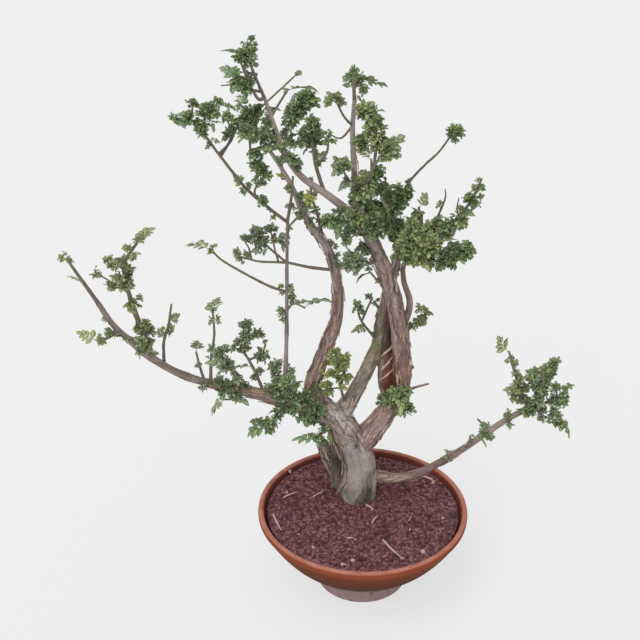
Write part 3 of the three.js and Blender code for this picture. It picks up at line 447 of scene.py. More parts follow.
def hashed(cells: Array, seed: int) -> Array:
    """A repeatable number from 0 to 1 for each cell, by mixing the bits of its three whole numbers.

    Args:
        cells: Whole numbers, three to a cell along the last axis.
        seed: Chooses one of many such fields.

    Returns:
        One number for each cell.
    """
    a, b, c = np.moveaxis(cells.astype(np.int64), -1, 0)
    mixed = (a * 73856093) ^ (b * 19349663) ^ (c * 83492791) ^ (seed * 15485863)
    mixed = (mixed ^ (mixed >> 13)) * 12741261
    return ((mixed ^ (mixed >> 16)) & 0xFFFF) / 0xFFFF


def noise(points: Array, size: float, seed: int = 0) -> Array:
    """Smooth noise: hashed values at the corners of cubes, blended by smooth_step between them.

    Args:
        points: Places, three numbers along the last axis.
        size: The edge of a cube, in the points' unit.
        seed: Chooses one of many such fields.

    Returns:
        A number from -1 to 1 for each point.
    """
    place = points / size
    cell = np.floor(place)
    share = smooth_step(place - cell, 0, 1)
    total = np.zeros(points.shape[:-1])
    for corner in np.ndindex(2, 2, 2):
        weight = np.prod(np.where(np.array(corner, bool), share, 1 - share), axis=-1)
        total += weight * hashed(cell + corner, seed)
    return 2 * total - 1


def layered(points: Array, size: float, seed: int = 0, layers: int = 3) -> Array:
    """Noise with finer noise on it: each further layer is half as large and half as strong."""
    parts = [noise(points, size / 2**layer, seed + layer) / 2**layer for layer in range(layers)]
    return sum(parts) / (2 - 2 ** (1 - layers))


def near(points: Array, centre: Sequence[float], reach: float) -> Array:
    """A soft spot: 1 at the centre, falling with the square of the distance over the reach."""
    away = np.linalg.norm(points - np.array(centre, float), axis=-1)
    return np.exp(-((away / reach) ** 2))


def spotted(points: Array, spots: Sequence[tuple]) -> Array:
    """The sum of several soft spots, each a place, its reach and, where it has one, its depth."""
    return sum(math.prod(depth) * near(points, place, reach) for place, reach, *depth in spots)


class Line:
    """A smooth centre line through given points.

    Between two points it is the cubic whose slope at each point is half the step between that
    point's neighbours, and past each end the last step is repeated.
    """

    STEPS = 200
    AHEAD = 0.0001

    def __init__(self, points: Sequence[Sequence[float]]) -> None:
        """Takes the points and measures the way along the line.

        Args:
            points: The points, in order.
        """
        self.points = np.array(points, float)
        before = 2 * self.points[0] - self.points[1]
        after = 2 * self.points[-1] - self.points[-2]
        self._held = np.vstack([before, self.points, after])
        self._shares = np.linspace(0, 1, self.STEPS + 1)
        steps = np.linalg.norm(np.diff(self.at(self._shares), axis=0), axis=1)
        self._walked = np.concatenate([[0.0], np.cumsum(steps)])

    @property
    def length(self) -> float:
        """The line's length."""
        return float(self._walked[-1])

    def at(self, t: Array | float) -> Array:
        """The places at the shares t of the line's spans.

        Args:
            t: Shares from 0 to 1.

        Returns:
            Three numbers for each.
        """
        spans = len(self.points) - 1
        place = np.clip(np.asarray(t, float), 0, 1) * spans
        span = np.minimum(place.astype(int), spans - 1)
        s = (place - span)[..., None]
        p0, p1, p2, p3 = (self._held[span + k] for k in range(4))
        m1, m2 = (p2 - p0) / 2, (p3 - p1) / 2
        bend = -3 * p1 + 3 * p2 - 2 * m1 - m2
        twist = 2 * p1 - 2 * p2 + m1 + m2
        return p1 + s * (m1 + s * (bend + s * twist))

    def spans(self, walked: Array | float) -> Array:
        """Turns shares of the way walked along the line into shares of its spans."""
        return np.interp(np.asarray(walked) * self.length, self._walked, self._shares)

    def frames(self, walked: Array) -> tuple[Array, Array, Array, Array]:
        """Places and axes that turn as little as they can along the line.

        The first normal leans on the axis that the line runs least along. Each next one is the
        last one turned by the angle between the two tangents, about their common normal.

        Args:
            walked: Shares of the way along the line, in order.

        Returns:
            The centres, tangents, normals and binormals.
        """
        t = self.spans(walked)
        tangents = unit(self.at(t + self.AHEAD) - self.at(t - self.AHEAD))
        least = 2 - int(np.argmin(np.abs(tangents[0])[::-1]))
        side = unit(np.cross(tangents[0], np.eye(3)[least]))
        normals = [np.cross(tangents[0], side)]
        for last, this in zip(tangents, tangents[1:]):
            axis = np.cross(last, this)
            sine = np.linalg.norm(axis)
            normal = normals[-1]
            if sine > np.finfo(float).eps:
                axis = axis / sine
                angle = math.acos(float(np.clip(last @ this, -1, 1)))
                across = np.cross(axis, normal) * math.sin(angle)
                normal = normal * math.cos(angle) + across + axis * (axis @ normal) * (1 - math.cos(angle))
            normals.append(normal)
        held = np.array(normals)
        return self.at(t), tangents, held, np.cross(tangents, held)


def radius_along(radii: Sequence[float], share: Array) -> Array:
    """The radii as even steps of a share from 0 to 1, with straight lines between them."""
    return np.interp(share, np.linspace(0, 1, len(radii)), radii)


@dataclass
class Surface:
    """Points with the faces between them.

    Attributes:
        points: Places in millimetres, one row each.
        faces: Four corners a row, the fourth -1 on a triangle.
        values: Named values, one for each point.
        slots: The material slot of each face.
    """

    points: Array
    faces: Array
    values: dict[str, Array] = field(default_factory=dict)
    slots: Array | None = None

    def painted(self, slot: int) -> Surface:
        """The same surface with all its faces in one material slot."""
        return replace(self, slots=np.full(len(self.faces), slot))

    def valued(self, **values: float | Array) -> Surface:
        """The same surface with more named values."""
        held = {name: np.full(len(self.points), value) if np.ndim(value) == 0 else np.asarray(value)
                for name, value in values.items()}
        return replace(self, values={**self.values, **held})

    def build(self, name: str, *materials: Material, unit: float = MM) -> Piece:
        """Makes the object at the origin, in the scene and smooth shaded.

        Args:
            name: The piece's name.
            *materials: Its material slots in order.
            unit: A millimetre's length in the mesh.

        Returns:
            The object.
        """
        mesh = bpy.data.meshes.new(name)
        sides = 3 + (self.faces[:, 3] >= 0)
        corners = self.faces[self.faces >= 0]
        mesh.vertices.add(len(self.points))
        mesh.vertices.foreach_set("co", (self.points * unit).astype(np.float32).ravel())
        mesh.loops.add(len(corners))
        mesh.loops.foreach_set("vertex_index", corners.astype(np.int32))
        mesh.polygons.add(len(self.faces))
        mesh.polygons.foreach_set("loop_start", (np.cumsum(sides) - sides).astype(np.int32))
        mesh.polygons.foreach_set("use_smooth", np.ones(len(self.faces), bool))
        for material in materials:
            mesh.materials.append(material)
        if self.slots is not None:
            mesh.polygons.foreach_set("material_index", self.slots.astype(np.int32))
        for key, value in self.values.items():
            kind, entry = ("FLOAT_VECTOR", "vector") if value.ndim == 2 else ("FLOAT", "value")
            attribute = mesh.attributes.new(key, kind, "POINT")
            attribute.data.foreach_set(entry, value.astype(np.float32).ravel())
        mesh.update(calc_edges=True)
        mesh.validate()
        return linked(name, mesh)


def linked(name: str, data: bpy.types.ID) -> Piece:
    """A new object of the scene that shows the data."""
    made = bpy.data.objects.new(name, data)
    bpy.context.scene.collection.objects.link(made)
    return made


def merged(surfaces: Sequence[Surface]) -> Surface:
    """Several surfaces as one; a value that one of them lacks is 0 there.

    Args:
        surfaces: The surfaces.

    Returns:
        One surface, whose points and faces lie in the same order.
    """
    starts = np.cumsum([0] + [len(one.points) for one in surfaces[:-1]])
    faces = [np.where(one.faces >= 0, one.faces + start, -1) for one, start in zip(surfaces, starts)]
    names = sorted({name for one in surfaces for name in one.values})
    values = {}
    for name in names:
        shape = next(one.values[name].shape[1:] for one in surfaces if name in one.values)
        parts = [one.values.get(name, np.zeros((len(one.points), *shape))) for one in surfaces]
        values[name] = np.concatenate(parts)
    slots = [np.zeros(len(one.faces), int) if one.slots is None else one.slots for one in surfaces]
    points = np.concatenate([one.points for one in surfaces])
    return Surface(points, np.concatenate(faces), values, np.concatenate(slots))


def turns(count: int) -> Array:
    """Angles evenly round a circle."""
    return np.arange(count) * 2 * math.pi / count


def directions(first: Array, second: Array, angle: Array) -> Array:
    """The directions at some angles from the first of each pair of axes towards the second."""
    return first[:, None] * np.cos(angle)[..., None] + second[:, None] * np.sin(angle)[..., None]


def ring_faces(rows: int, columns: int) -> Array:
    """The four-cornered faces between rings of points, one ring after another.

    Args:
        rows: How many rings there are.
        columns: How many points a ring has.

    Returns:
        Four corners a row.
    """
    row, column = np.meshgrid(np.arange(rows - 1), np.arange(columns), indexing="ij")
    beside = (column + 1) % columns
    corners = [row * columns + column, row * columns + beside]
    corners += [(row + 1) * columns + beside, (row + 1) * columns + column]
    return np.stack(corners, -1).reshape(-1, 4)


def fan(ring: Array, pole: int) -> Array:
    """Triangles from each edge of a closed ring of corners to a pole."""
    return np.stack([ring, np.roll(ring, -1), np.full_like(ring, pole), np.full_like(ring, -1)], -1)


def capped_faces(rows: int, columns: int) -> Array:
    """The faces between rings of points and to a pole at each end; the poles' points come last."""
    ring, count = np.arange(columns), rows * columns
    ends = [fan(ring[::-1], count), fan(ring + count - columns, count + 1)]
    return np.vstack([ring_faces(rows, columns), *ends])


def closed(rings: Array, first_pole: Sequence[float], last_pole: Sequence[float]) -> Surface:
    """The skin through rings of points, closed by a pole at each end."""
    points = np.vstack([rings.reshape(-1, 3), first_pole, last_pole])
    return Surface(points, capped_faces(*rings.shape[:2]))


def copies(points: Array, faces: Array) -> Surface:
    """One surface of several like shapes, from the points of each and the faces that they share."""
    shifted = faces + points.shape[1] * np.arange(len(points))[:, None, None]
    return Surface(points.reshape(-1, 3), np.where(faces >= 0, shifted, -1).reshape(-1, 4))


def rod_faces(rings: int) -> Array:
    """The faces of a three-sided rod with flat ends."""
    end = 3 * rings - 3
    return np.vstack([ring_faces(rings, 3), [[2, 1, 0, -1], [end, end + 1, end + 2, -1]]])


def tube(line: Line, radii: Sequence[float], sides: int, step: float, shape: Shape | None = None) -> Surface:
    """A limb's closed skin: circles carried along its line, with a rounded end.

    The circle at a place has the radius that the radii give there. The last three circles follow a
    quarter of an ellipse past the end, so that the tip is blunt.

    Args:
        line: The centre line.
        radii: The radius at even steps along the line's spans.
        sides: How many points a circle has.
        step: How far apart the circles are.
        shape: Makes a share of the radius from the centres, the outward directions and the way.

    Returns:
        The surface, with the way along it in "along" and its radius in "girth".
    """
    rings = max(3, int(line.length / step) + 1)
    walked = np.linspace(0, 1, rings)
    centres, tangents, normals, binormals = line.frames(walked)
    radius = radius_along(radii, line.spans(walked))
    bulge = np.radians(TIP_CIRCLES)
    tip = centres[-1] + tangents[-1] * (radius[-1] * 0.6 * np.sin(bulge))[:, None]
    centres = np.vstack([centres, tip])
    kept = np.minimum(np.arange(rings + len(bulge)), rings - 1)
    out = directions(normals[kept], binormals[kept], turns(sides))
    pole = centres[-1] + tangents[-1] * radius[-1] * 0.02
    radius = np.append(radius, radius[-1] * np.cos(bulge))
    way = (walked * line.length)[kept]
    reach = np.repeat(radius[:, None], sides, 1)
    if shape is not None:
        reach = reach * shape(centres[:, None], out, way[:, None])
    skin = closed(centres[:, None] + out * reach[..., None], centres[0], pole)
    along = np.append(np.repeat(way, sides), [0, line.length])
    return skin.valued(along=along, girth=np.append(np.repeat(radius, sides), radius[[0, -1]]))


class Value:
    """A shader socket that sums can be written with."""

    def __init__(self, paint: Paint, socket: bpy.types.NodeSocket) -> None:
        """Holds one output socket of the material that paint is making."""
        self.paint = paint
        self.socket = socket

    def math(self, operation: str, other: Value | float) -> Value:
        """Adds a Math node that takes this value first."""
        return self.paint.node("ShaderNodeMath", {"operation": operation}, {0: self, 1: other})

    def __add__(self, other: Value | float) -> Value:
        """This plus other."""
        return self.math("ADD", other)

    __radd__ = __add__

    def __mul__(self, other: Value | float) -> Value:
        """This times other."""
        return self.math("MULTIPLY", other)

    __rmul__ = __mul__

    def __rsub__(self, other: float) -> Value:
        """A number less this."""
        return self * -1.0 + other

    def limited(self) -> Value:
        """This, kept from 0 to 1."""
        return self.math("MINIMUM", 1.0).math("MAXIMUM", 0.0)

    def between(self, low: float, high: float) -> Value:
        """From 0 where this is low to 1 where it is high, softly."""
        inputs = {"Value": self, "From Min": low, "From Max": high}
        return self.paint.node("ShaderNodeMapRange", {"interpolation_type": "SMOOTHSTEP"}, inputs)


Shade = Value | Colour


class Paint:
    """A material in the making. Its where holds object coordinates, in metres."""

    def __init__(self, name: str) -> None:
        """Starts an empty material of that name."""
        self.material = bpy.data.materials.new(name)
        self.material.use_nodes = True
        self.tree = self.material.node_tree
        self.tree.nodes.clear()
        self.where = self.node("ShaderNodeTexCoord", output="Object")

    def node(
        self,
        kind: str,
        settings: dict[str, object] | None = None,
        inputs: dict[str | int, object] | None = None,
        output: int | str = 0,
    ) -> Value:
        """Adds a node.

        Args:
            kind: The node's type.
            settings: Its own settings, set first.
            inputs: Values or links for its sockets, by name or number.
            output: The socket that is wanted from it.

        Returns:
            That socket, ready for sums.
        """
        made = self.tree.nodes.new(kind)
        for key, value in (settings or {}).items():
            setattr(made, key, value)
        for key, value in (inputs or {}).items():
            self._feed(made.inputs[key], value)
        return Value(self, made.outputs[output])

    def _feed(self, socket: bpy.types.NodeSocket, value: object) -> None:
        """Links a value to a socket, or writes a plain one there.

        Args:
            socket: The socket.
            value: A Value, a colour or a number.
        """
        if isinstance(value, Value):
            self.tree.links.new(value.socket, socket)
        elif isinstance(value, tuple) and socket.type == "RGBA":
            socket.default_value = (*value, 1.0)
        else:
            socket.default_value = value

    def held(self, name: str, output: str = "Fac") -> Value:
        """A value that the mesh holds at its points."""
        return self.node("ShaderNodeAttribute", {"attribute_name": name}, output=output)

    def speckle(
        self, size: float, detail: float = 3.0, rough: float = 0.55, where: Value | None = None
    ) -> Value:
        """Noise from 0 to 1 whose largest spots are about size millimetres across."""
        inputs = {"Vector": where or self.where, "Scale": 1 / (size * MM)}
        inputs.update({"Detail": detail, "Roughness": rough})
        return self.node("ShaderNodeTexNoise", None, inputs)

    def pores(self, size: float) -> Value:
        """The distance to the nearest of points strewn about size millimetres apart."""
        inputs = {"Vector": self.where, "Scale": 1 / (size * MM)}
        return self.node("ShaderNodeTexVoronoi", None, inputs, "Distance")

    def mix(self, first: Shade, second: Shade, share: Value | float) -> Value:
        """A colour between two, first at 0 and second at 1."""
        return self.node("ShaderNodeMix", {"data_type": "RGBA"}, {0: share, 6: first, 7: second}, 2)

    def coated(self, base: Shade, *coats: tuple[Colour, Value | float]) -> Value:
        """A colour with others laid over it in turn, each by its share."""
        for colour, share in coats:
            base = self.mix(base, colour, share)
        return base

    def shaded(self, colour: Shade, share: Value | float) -> Value:
        """A colour made darker or lighter by a share of itself."""
        return self.node("ShaderNodeVectorMath", {"operation": "SCALE"}, {0: colour, "Scale": share})

    def bump(self, height: Value, depth: float, strength: float) -> Value:
        """A normal from a height whose full range is depth millimetres."""
        inputs = {"Height": height, "Distance": depth * MM, "Strength": strength}
        return self.node("ShaderNodeBump", None, inputs)

    def finished(
        self, colour: Shade, roughness: Value | float, shine: float, **more: Value | float | Colour
    ) -> Material:
        """Ends the material with one principled shader.

        Args:
            colour: The base colour.
            roughness: How matte it is.
            shine: How strongly it mirrors, 0.5 being usual.
            **more: Other sockets by name, with underscores for spaces.

        Returns:
            The material.
        """
        inputs = {"Base Color": colour, "Roughness": roughness, "Specular IOR Level": shine}
        inputs.update({key.replace("_", " "): value for key, value in more.items()})
        shader = self.node("ShaderNodeBsdfPrincipled", None, inputs)
        output = self.tree.nodes.new("ShaderNodeOutputMaterial")
        self.tree.links.new(shader.socket, output.inputs["Surface"])
        return self.material


def srgb(red: int, green: int, blue: int) -> Colour:
    """A colour given as a screen shows it, from 0 to 255, as the linear one that a shader takes."""
    shares = (red / 255, green / 255, blue / 255)
    return tuple(c / 12.92 if c <= 0.04045 else ((c + 0.055) / 1.055) ** 2.4 for c in shares)


@dataclass(frozen=True)
class BarkFinish:
    """Smooth grey bark that peels in thin tan strips over a mauve younger skin.

    The colours lie in streaks drawn out along each limb, by the values that its mesh holds: "grain"
    follows the limb, "crevice" and "edge" lie where its relief sinks and where a sheet ends, "shade"
    darkens it as painted shade and sets each limb's lightness, and the others are stretches of it. The
    grooves are painted dark, as painted shade in the recess and darker bark there.
    """

    grey: Colour = srgb(180, 174, 172)
    mauve: Colour = srgb(148, 120, 113)
    tan: Colour = srgb(202, 182, 166)
    fleck: Colour = srgb(86, 72, 66)
    crack_and_shade: Colour = srgb(66, 48, 42)
    moss: Colour = srgb(116, 120, 86)
    raw: Colour = srgb(112, 54, 42)
    damp: Colour = srgb(96, 98, 88)

    def make(self) -> Material:
        """Builds the material.

        Returns:
            The material.
        """
        paint = Paint("bark")
        grain = paint.held("grain", "Vector")
        peel, rough = paint.held("peel"), 1 - paint.held("smooth") * 0.7
        patches = paint.speckle(14, 4, where=grain).between(0.36, 0.6)
        strands = paint.speckle(3.0, 5, 0.62, grain)
        pale = strands.between(0.52, 0.64) * (0.3 + peel * 0.7) * rough
        dark = paint.speckle(2.3, 4, 0.62, grain).between(0.53, 0.66) * (0.4 + peel * 0.45)
        growth = paint.speckle(6, 4, 0.6).between(0.36, 0.6) * paint.held("moss")
        # The crack colour paints the relief's grooves: painted shade in the recess and darker bark there
        skin = paint.coated(
            self.grey,
            (self.mauve, patches * 0.25 + paint.held("mauve") * 0.75),
            (self.tan, (pale + paint.held("edge")).limited()),
            (self.fleck, dark * rough),
            (self.raw, paint.held("raw")),
            (self.crack_and_shade, paint.held("crevice")),
            (self.moss, growth.limited()),
            (self.damp, paint.held("damp")),
        )
        # Painted shade from the mesh's shade value, with random mottling
        skin = paint.shaded(skin, paint.held("shade") * (0.76 + paint.speckle(4, 5, 0.6) * 0.46))
        height = strands * 0.7 + paint.speckle(1.1, 3) * 0.3
        return paint.finished(skin, 0.78 + growth * 0.12, 0.28, Normal=paint.bump(height, 1.2, 0.9))


@dataclass(frozen=True)
class TwigFinish:
    """The thin shoots: grey-brown on the old ones and green on the young."""

    old: Colour = srgb(118, 106, 98)
    young: Colour = srgb(122, 120, 94)
    scar: Colour = srgb(80, 66, 58)

    def make(self) -> Material:
        """Builds the material."""
        paint = Paint("twig_bark")
        scars = paint.speckle(2.2, 3).between(0.55, 0.68) * 0.7
        skin = paint.coated(self.old, (self.young, paint.held("young")), (self.scar, scars))
        return paint.finished(skin, 0.75, 0.3, Normal=paint.bump(paint.speckle(1.4, 4), 0.5, 0.7))


@dataclass(frozen=True)
class LeafFinish:
    """Small firm leaflets, paler along the rib, some dusty and some turning yellow.

    Each leaf's mesh holds how yellow and how grey it is, a tone of its own from 0 to 1, and how near a
    point is to the middle rib.
    """

    deep: Colour = srgb(76, 108, 66)
    light: Colour = srgb(142, 168, 118)
    dusty: Colour = srgb(146, 158, 134)
    yellow: Colour = srgb(206, 204, 92)
    rib: Colour = srgb(172, 184, 140)

    def make(self) -> Material:
        """Builds the material.

        Returns:
            The material.
        """
        paint = Paint("leaves")
        tone = paint.held("tone")
        skin = paint.coated(
            self.deep,
            (self.light, tone),
            (self.dusty, paint.held("grey")),
            (self.yellow, paint.held("yellow")),
            (self.rib, paint.held("rib") * 0.35),
        )
        skin = paint.shaded(skin, 0.86 + paint.speckle(2.4, 3) * 0.28)
        normal = paint.bump(paint.speckle(1.2, 3), 0.35, 0.6)
        return paint.finished(skin, 0.46 + tone * 0.12, 0.42, Normal=normal)


@dataclass(frozen=True)
class ClayFinish:
    """Unglazed terracotta: painted shade darkens the wall to brown, more so low down with a damp stain; a
    painted highlight on the rim's edge; lime on the foot.
    """

    rim: Colour = srgb(140, 70, 44)
    edge: Colour = srgb(190, 130, 114)
    wall: Colour = srgb(110, 50, 20)
    under: Colour = srgb(80, 37, 20)
    inside: Colour = srgb(118, 62, 50)
    lime: Colour = srgb(150, 128, 128)

    def make(self) -> Material:
        """Builds the material.

        Returns:
            The material.
        """
        paint = Paint("terracotta")
        cloud = paint.speckle(42, 4, 0.5).between(0.35, 0.68)
        highlight_mottle = 0.5 + paint.speckle(20, 5, 0.6).between(0.3, 0.7) * 0.45
        crust = paint.speckle(14, 5, 0.62).between(0.24, 0.5) * paint.held("lime")
        # The wall colour is painted shade below the lip; the under colour, by the damp value, is painted
        # shade lower down with a damp stain; the edge colour is a mottled painted highlight along the rim's
        # top
        skin = paint.coated(
            self.wall,
            (self.rim, paint.held("lip") * 0.8 + cloud * 0.2),
            (self.under, (paint.held("damp") * (0.75 + cloud * 0.4)).limited()),
            (self.inside, paint.held("inner")),
            (self.edge, paint.held("edge") * highlight_mottle),
            (self.lime, crust.limited()),
        )
        grit = paint.speckle(1.6, 4, 0.6)
        height = grit * 0.6 + paint.pores(2.6).between(0.06, 0.2) * 0.4
        skin = paint.shaded(skin, 0.86 + grit * 0.28)
        return paint.finished(skin, 0.8 + crust * 0.12, 0.14, Normal=paint.bump(height, 0.35, 0.5))


@dataclass(frozen=True)
class SoilFinish:
    """Dark red-brown granules, each with its own tone, painted shade in the gaps and a painted shadow under
    the low bough.
    """

    dark: Colour = srgb(84, 50, 54)
    light: Colour = srgb(156, 112, 116)
    pale: Colour = srgb(196, 170, 166)
    red_earth_and_shadow: Colour = srgb(84, 46, 38)
    gap_shade: Colour = srgb(36, 20, 24)
    grime: Colour = srgb(64, 54, 52)

    def make(self) -> Material:
        """Builds the material.

        Returns:
            The material.
        """
        paint = Paint("granules")
        tone = paint.held("tone")
        # The red-brown coat is slow mottling of the earth and, beside the trunk, a painted shadow under the
        # low bough
        skin = paint.coated(
            self.dark,
            (self.light, (tone * tone).limited()),
            (self.pale, tone.between(1.0, 1.2)),
            (self.red_earth_and_shadow, paint.held("rusty")),
            (self.grime, paint.held("grime")),
        )
        grit = paint.speckle(0.9, 4, 0.65)
        # Painted shade: the gap colour where the top sinks between granules
        skin = paint.shaded(paint.mix(self.gap_shade, skin, paint.held("open")), 0.75 + grit * 0.5)
        return paint.finished(skin, 0.92, 0.2, Normal=paint.bump(grit, 0.5, 0.8))


@dataclass(frozen=True)
class DryFinish:
    """Dry straw and flakes of bark, told apart by a tone."""

    straw: Colour = srgb(206, 180, 162)
    brown: Colour = srgb(118, 92, 80)

    def make(self) -> Material:
        """Builds the material."""
        paint = Paint("dry")
        skin = paint.mix(self.brown, self.straw, paint.held("tone"))
        skin = paint.shaded(skin, 0.66 + paint.speckle(2.2, 5, 0.62) * 0.6)
        return paint.finished(skin, 0.85, 0.25, Normal=paint.bump(paint.speckle(0.8, 3), 0.3, 0.6))


def adopt(piece: Piece, slot: str, *nodes: str) -> Piece:
    """Gives a finished piece its body and hides the nodes that it stands for.

    Args:
        piece: The piece.
        slot: Not used.
        *nodes: The nodes that it stands for.

    Returns:
        The piece.
    """
    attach(piece, BODY)
    if nodes:
        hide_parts(*nodes)
    LOG.info("%s: %d faces", piece.name, len(piece.data.polygons))
    return piece


def limb_lines() -> dict[str, Line]:
    """The centre line of each limb, a branch's from its parent's line through its own points."""
    lines: dict[str, Line] = {}
    for name, limb in LIMBS.items():
        lines[name] = branch_line(lines.get(limb.parent), limb.at, limb.path)
    return lines


def branch_line(parent: Line | None, at: float, path: Sequence[Point]) -> Line:
    """A line that starts so many points along its parent's line, if it has a parent."""
    if parent is None:
        return Line(path)
    return Line([parent.at(at / (len(parent.points) - 1)), *path])


@dataclass
class Wood:
    """The tree's wood, from its roots to the ends of its boughs, in one skin.

    Attributes:
        lines: The limbs' centre lines.
        voxel: The size of the cells that the limbs are melted together in.
        smoothings: How often the melted skin is evened out.
        sides: How many points go round a limb before it is melted.
        step: How far apart a limb's circles are.
        shift: How far apart two limbs lie in the pattern of the bark, so that no two look alike.
        drawn_out: The pattern's share of a length along a limb.
        batches: In how many batches the points look for their limb, to save memory.
    """

    lines: dict[str, Line]
    voxel: float = 1.4
    smoothings: int = 5
    sides: int = 22
    step: float = 2.5
    shift: float = 61.0
    drawn_out: float = 0.22
    batches: int = 40

    def raw(self) -> Surface:
        """Every limb's own skin, one in another."""
        skins = []
        for name, limb in LIMBS.items():
            shape = trunk_shape if name == "trunk" else partial(collar, limb.radii[0])
            skins.append(tube(self.lines[name], limb.radii, self.sides, self.step, shape))
        return merged(skins)

    def melted(self, raw: Surface) -> Surface:
        """The outer skin of all the limbs together, in quads on a grid of small cells.

        Args:
            raw: The limbs' own skins.

        Returns:
            One closed skin.
        """
        rough = raw.build("rough", unit=1.0)
        remesh = rough.modifiers.new("melt", "REMESH")
        remesh.mode = "VOXEL"
        remesh.voxel_size = self.voxel
        held = rough.evaluated_get(bpy.context.evaluated_depsgraph_get())
        mesh = held.to_mesh()
        points = np.empty(len(mesh.vertices) * 3, np.float32)
        mesh.vertices.foreach_get("co", points)
        corners = np.empty(len(mesh.loops), np.int32)
        mesh.loops.foreach_get("vertex_index", corners)
        held.to_mesh_clear()
        bpy.data.objects.remove(rough)
        return Surface(points.reshape(-1, 3).astype(float), corners.reshape(-1, 4))

    def evened(self, skin: Surface) -> Surface:
        """The skin without the steps of its cells.

        Each point moves half way to its neighbours' mean and then nearly as far back, so that thin
        twigs keep their girth.

        Args:
            skin: The stepped skin.

        Returns:
            The even one.
        """
        points = skin.points
        for share in (0.5, -0.52) * self.smoothings:
            points = points + share * (neighbour_mean(skin.faces, points) - points)
        return Surface(points, skin.faces)

    def mapped(self, skin: Surface) -> Surface:
        """Finds the limb that each point belongs to, and its place along and round it.

        A point belongs to the place on a centre line whose girth it lies least outside.

        Args:
            skin: The skin.

        Returns:
            The skin, with its limb, girth and grain as values.
        """
        samples = []
        for number, (name, limb) in enumerate(LIMBS.items()):
            line = self.lines[name]
            walked = np.linspace(0, 1, int(line.length / self.step) + 2)
            centre, tangent, normal, binormal = line.frames(walked)
            girth = radius_along(limb.radii, line.spans(walked))
            numbers = np.full(len(walked), number)
            columns = [centre, normal, binormal, tangent, girth, walked * line.length, numbers]
            samples.append(np.column_stack(columns))
        sample = np.concatenate(samples)
        centre, (girth, way, limb) = sample[:, :3], sample[:, 12:].T
        nearest = np.empty(len(skin.points), int)
        for part in np.array_split(np.arange(len(skin.points)), self.batches):
            away = np.linalg.norm(skin.points[part, None] - centre[None], axis=2) - girth
            nearest[part] = np.argmin(away, axis=1)
        axes = sample[nearest, 3:12].reshape(-1, 3, 3)
        local = np.einsum("nij,nj->ni", axes, skin.points - centre[nearest])
        along = way[nearest] + local[:, 2]
        drawn = along * self.drawn_out + limb[nearest] * self.shift
        grain = np.column_stack([local[:, :2], drawn]) * MM
        return skin.valued(girth=girth[nearest], along=along, limb=limb[nearest], grain=grain)

    def weathered(self, skin: Surface) -> Surface:
        """Bark relief along each point's normal, and the values that its finish reads.

        The relief is noise of a limb's own girth for lumps, noise drawn out along the limb for
        ridges, a groove exp(-(n / 0.11)^2) where another such noise n passes 0, and the edges of
        sheets where a slower noise passes a threshold.

        Args:
            skin: The skin as mapped() leaves it.

        Returns:
            The surface, with the values that its finish reads.
        """
        points, girth = skin.points, skin.values["girth"]
        grain = skin.values["grain"] / MM
        heavy = smooth_step(girth, 3, 14)
        lumps = layered(points, 16, 1) * 0.045 * girth
        ridges = layered(grain, 5.5, 5) * (0.35 + 0.85 * heavy)
        sheets = layered(grain * [1, 1, 1.4], 11, 9)
        peel = np.clip(0.5 * smooth_step(girth, 3, 9) + spotted(points, PEELS), 0, 1)
        smooth = near(points, SMOOTH_FRONT, SMOOTH_REACH)
        plates = smooth_step(sheets, 0.02, 0.12) * (0.3 + 0.75 * heavy) * (0.35 + 0.65 * peel)
        groove = np.exp(-((layered(grain, 8, 55) / 0.11) ** 2))
        groove = groove * smooth_step(layered(grain, 20, 77), -0.25, 0.15)
        groove = groove * (0.35 + 0.65 * peel) * (1 - 0.9 * smooth)
        knots = spotted(points, KNOTS)
        limbs = skin.values["limb"].astype(int)
        mauve, light, algae = np.array([LOOKS.get(name, PLAIN_LOOK) for name in LIMBS])[limbs].T
        moss = np.clip(spotted(points, MOSSES) + algae, 0, 1)
        fluff = moss * (0.5 + layered(points, 3, 21, 2)) * 0.9
        normal = vertex_normals(skin.faces, points)
        relief = lumps + (ridges + plates) * (1 - 0.75 * smooth) + knots + fluff
        relief = relief - groove * (0.4 + 1.1 * heavy)
        placed = Surface(points + normal * relief[:, None], skin.faces, skin.values)
        base = smooth_step(points[:, 2], SOIL_LEVEL + 34, SOIL_LEVEL + 4)
        # The shade value is painted shade on undersides, in sunken knots and at the spots of painted shade,
        # and darker in the low stretches between raised plates; each limb's lightness then scales it
        under = smooth_step(-normal[:, 2], 0.1, 0.9)
        shade = 1.02 - 0.26 * smooth_step(-sheets, 0.02, 0.4) - 0.12 * under
        shade = shade - 0.25 * np.minimum(knots, 0) ** 2 - spotted(points, SHADE_SPOTS)
        strand = limbs == list(LIMBS).index("root_right")
        bared = limbs == list(LIMBS).index("inner_bark")
        torn = smooth_step(layered(grain, 9, 31), -0.5, 0.2)
        return placed.valued(
            moss=moss,
            peel=peel * (1 - 0.75 * smooth),
            smooth=smooth,
            # Grooves painted dark: painted shade in the recess and darker bark there
            crevice=0.75 * groove,
            edge=0.7 * np.exp(-(((sheets - 0.1) / 0.05) ** 2)) * peel * (1 - smooth) + 0.5 * strand,
            raw=np.clip(spotted(points, RAWS) + bared, 0, 0.92) * torn,
            mauve=np.clip(mauve + spotted(points, MAUVES), 0, 1),
            damp=0.85 * base * smooth_step(layered(points, 12, 41), -0.5, 0.3),
            shade=np.clip(shade * light, 0.3, 1.2),
        )

    def build(self) -> Piece:
        """Makes the piece, which stands for the tree's solid."""
        skin = self.weathered(self.mapped(self.evened(self.melted(self.raw()))))
        return adopt(skin.build("wood", BarkFinish().make()), "bark", "tree")


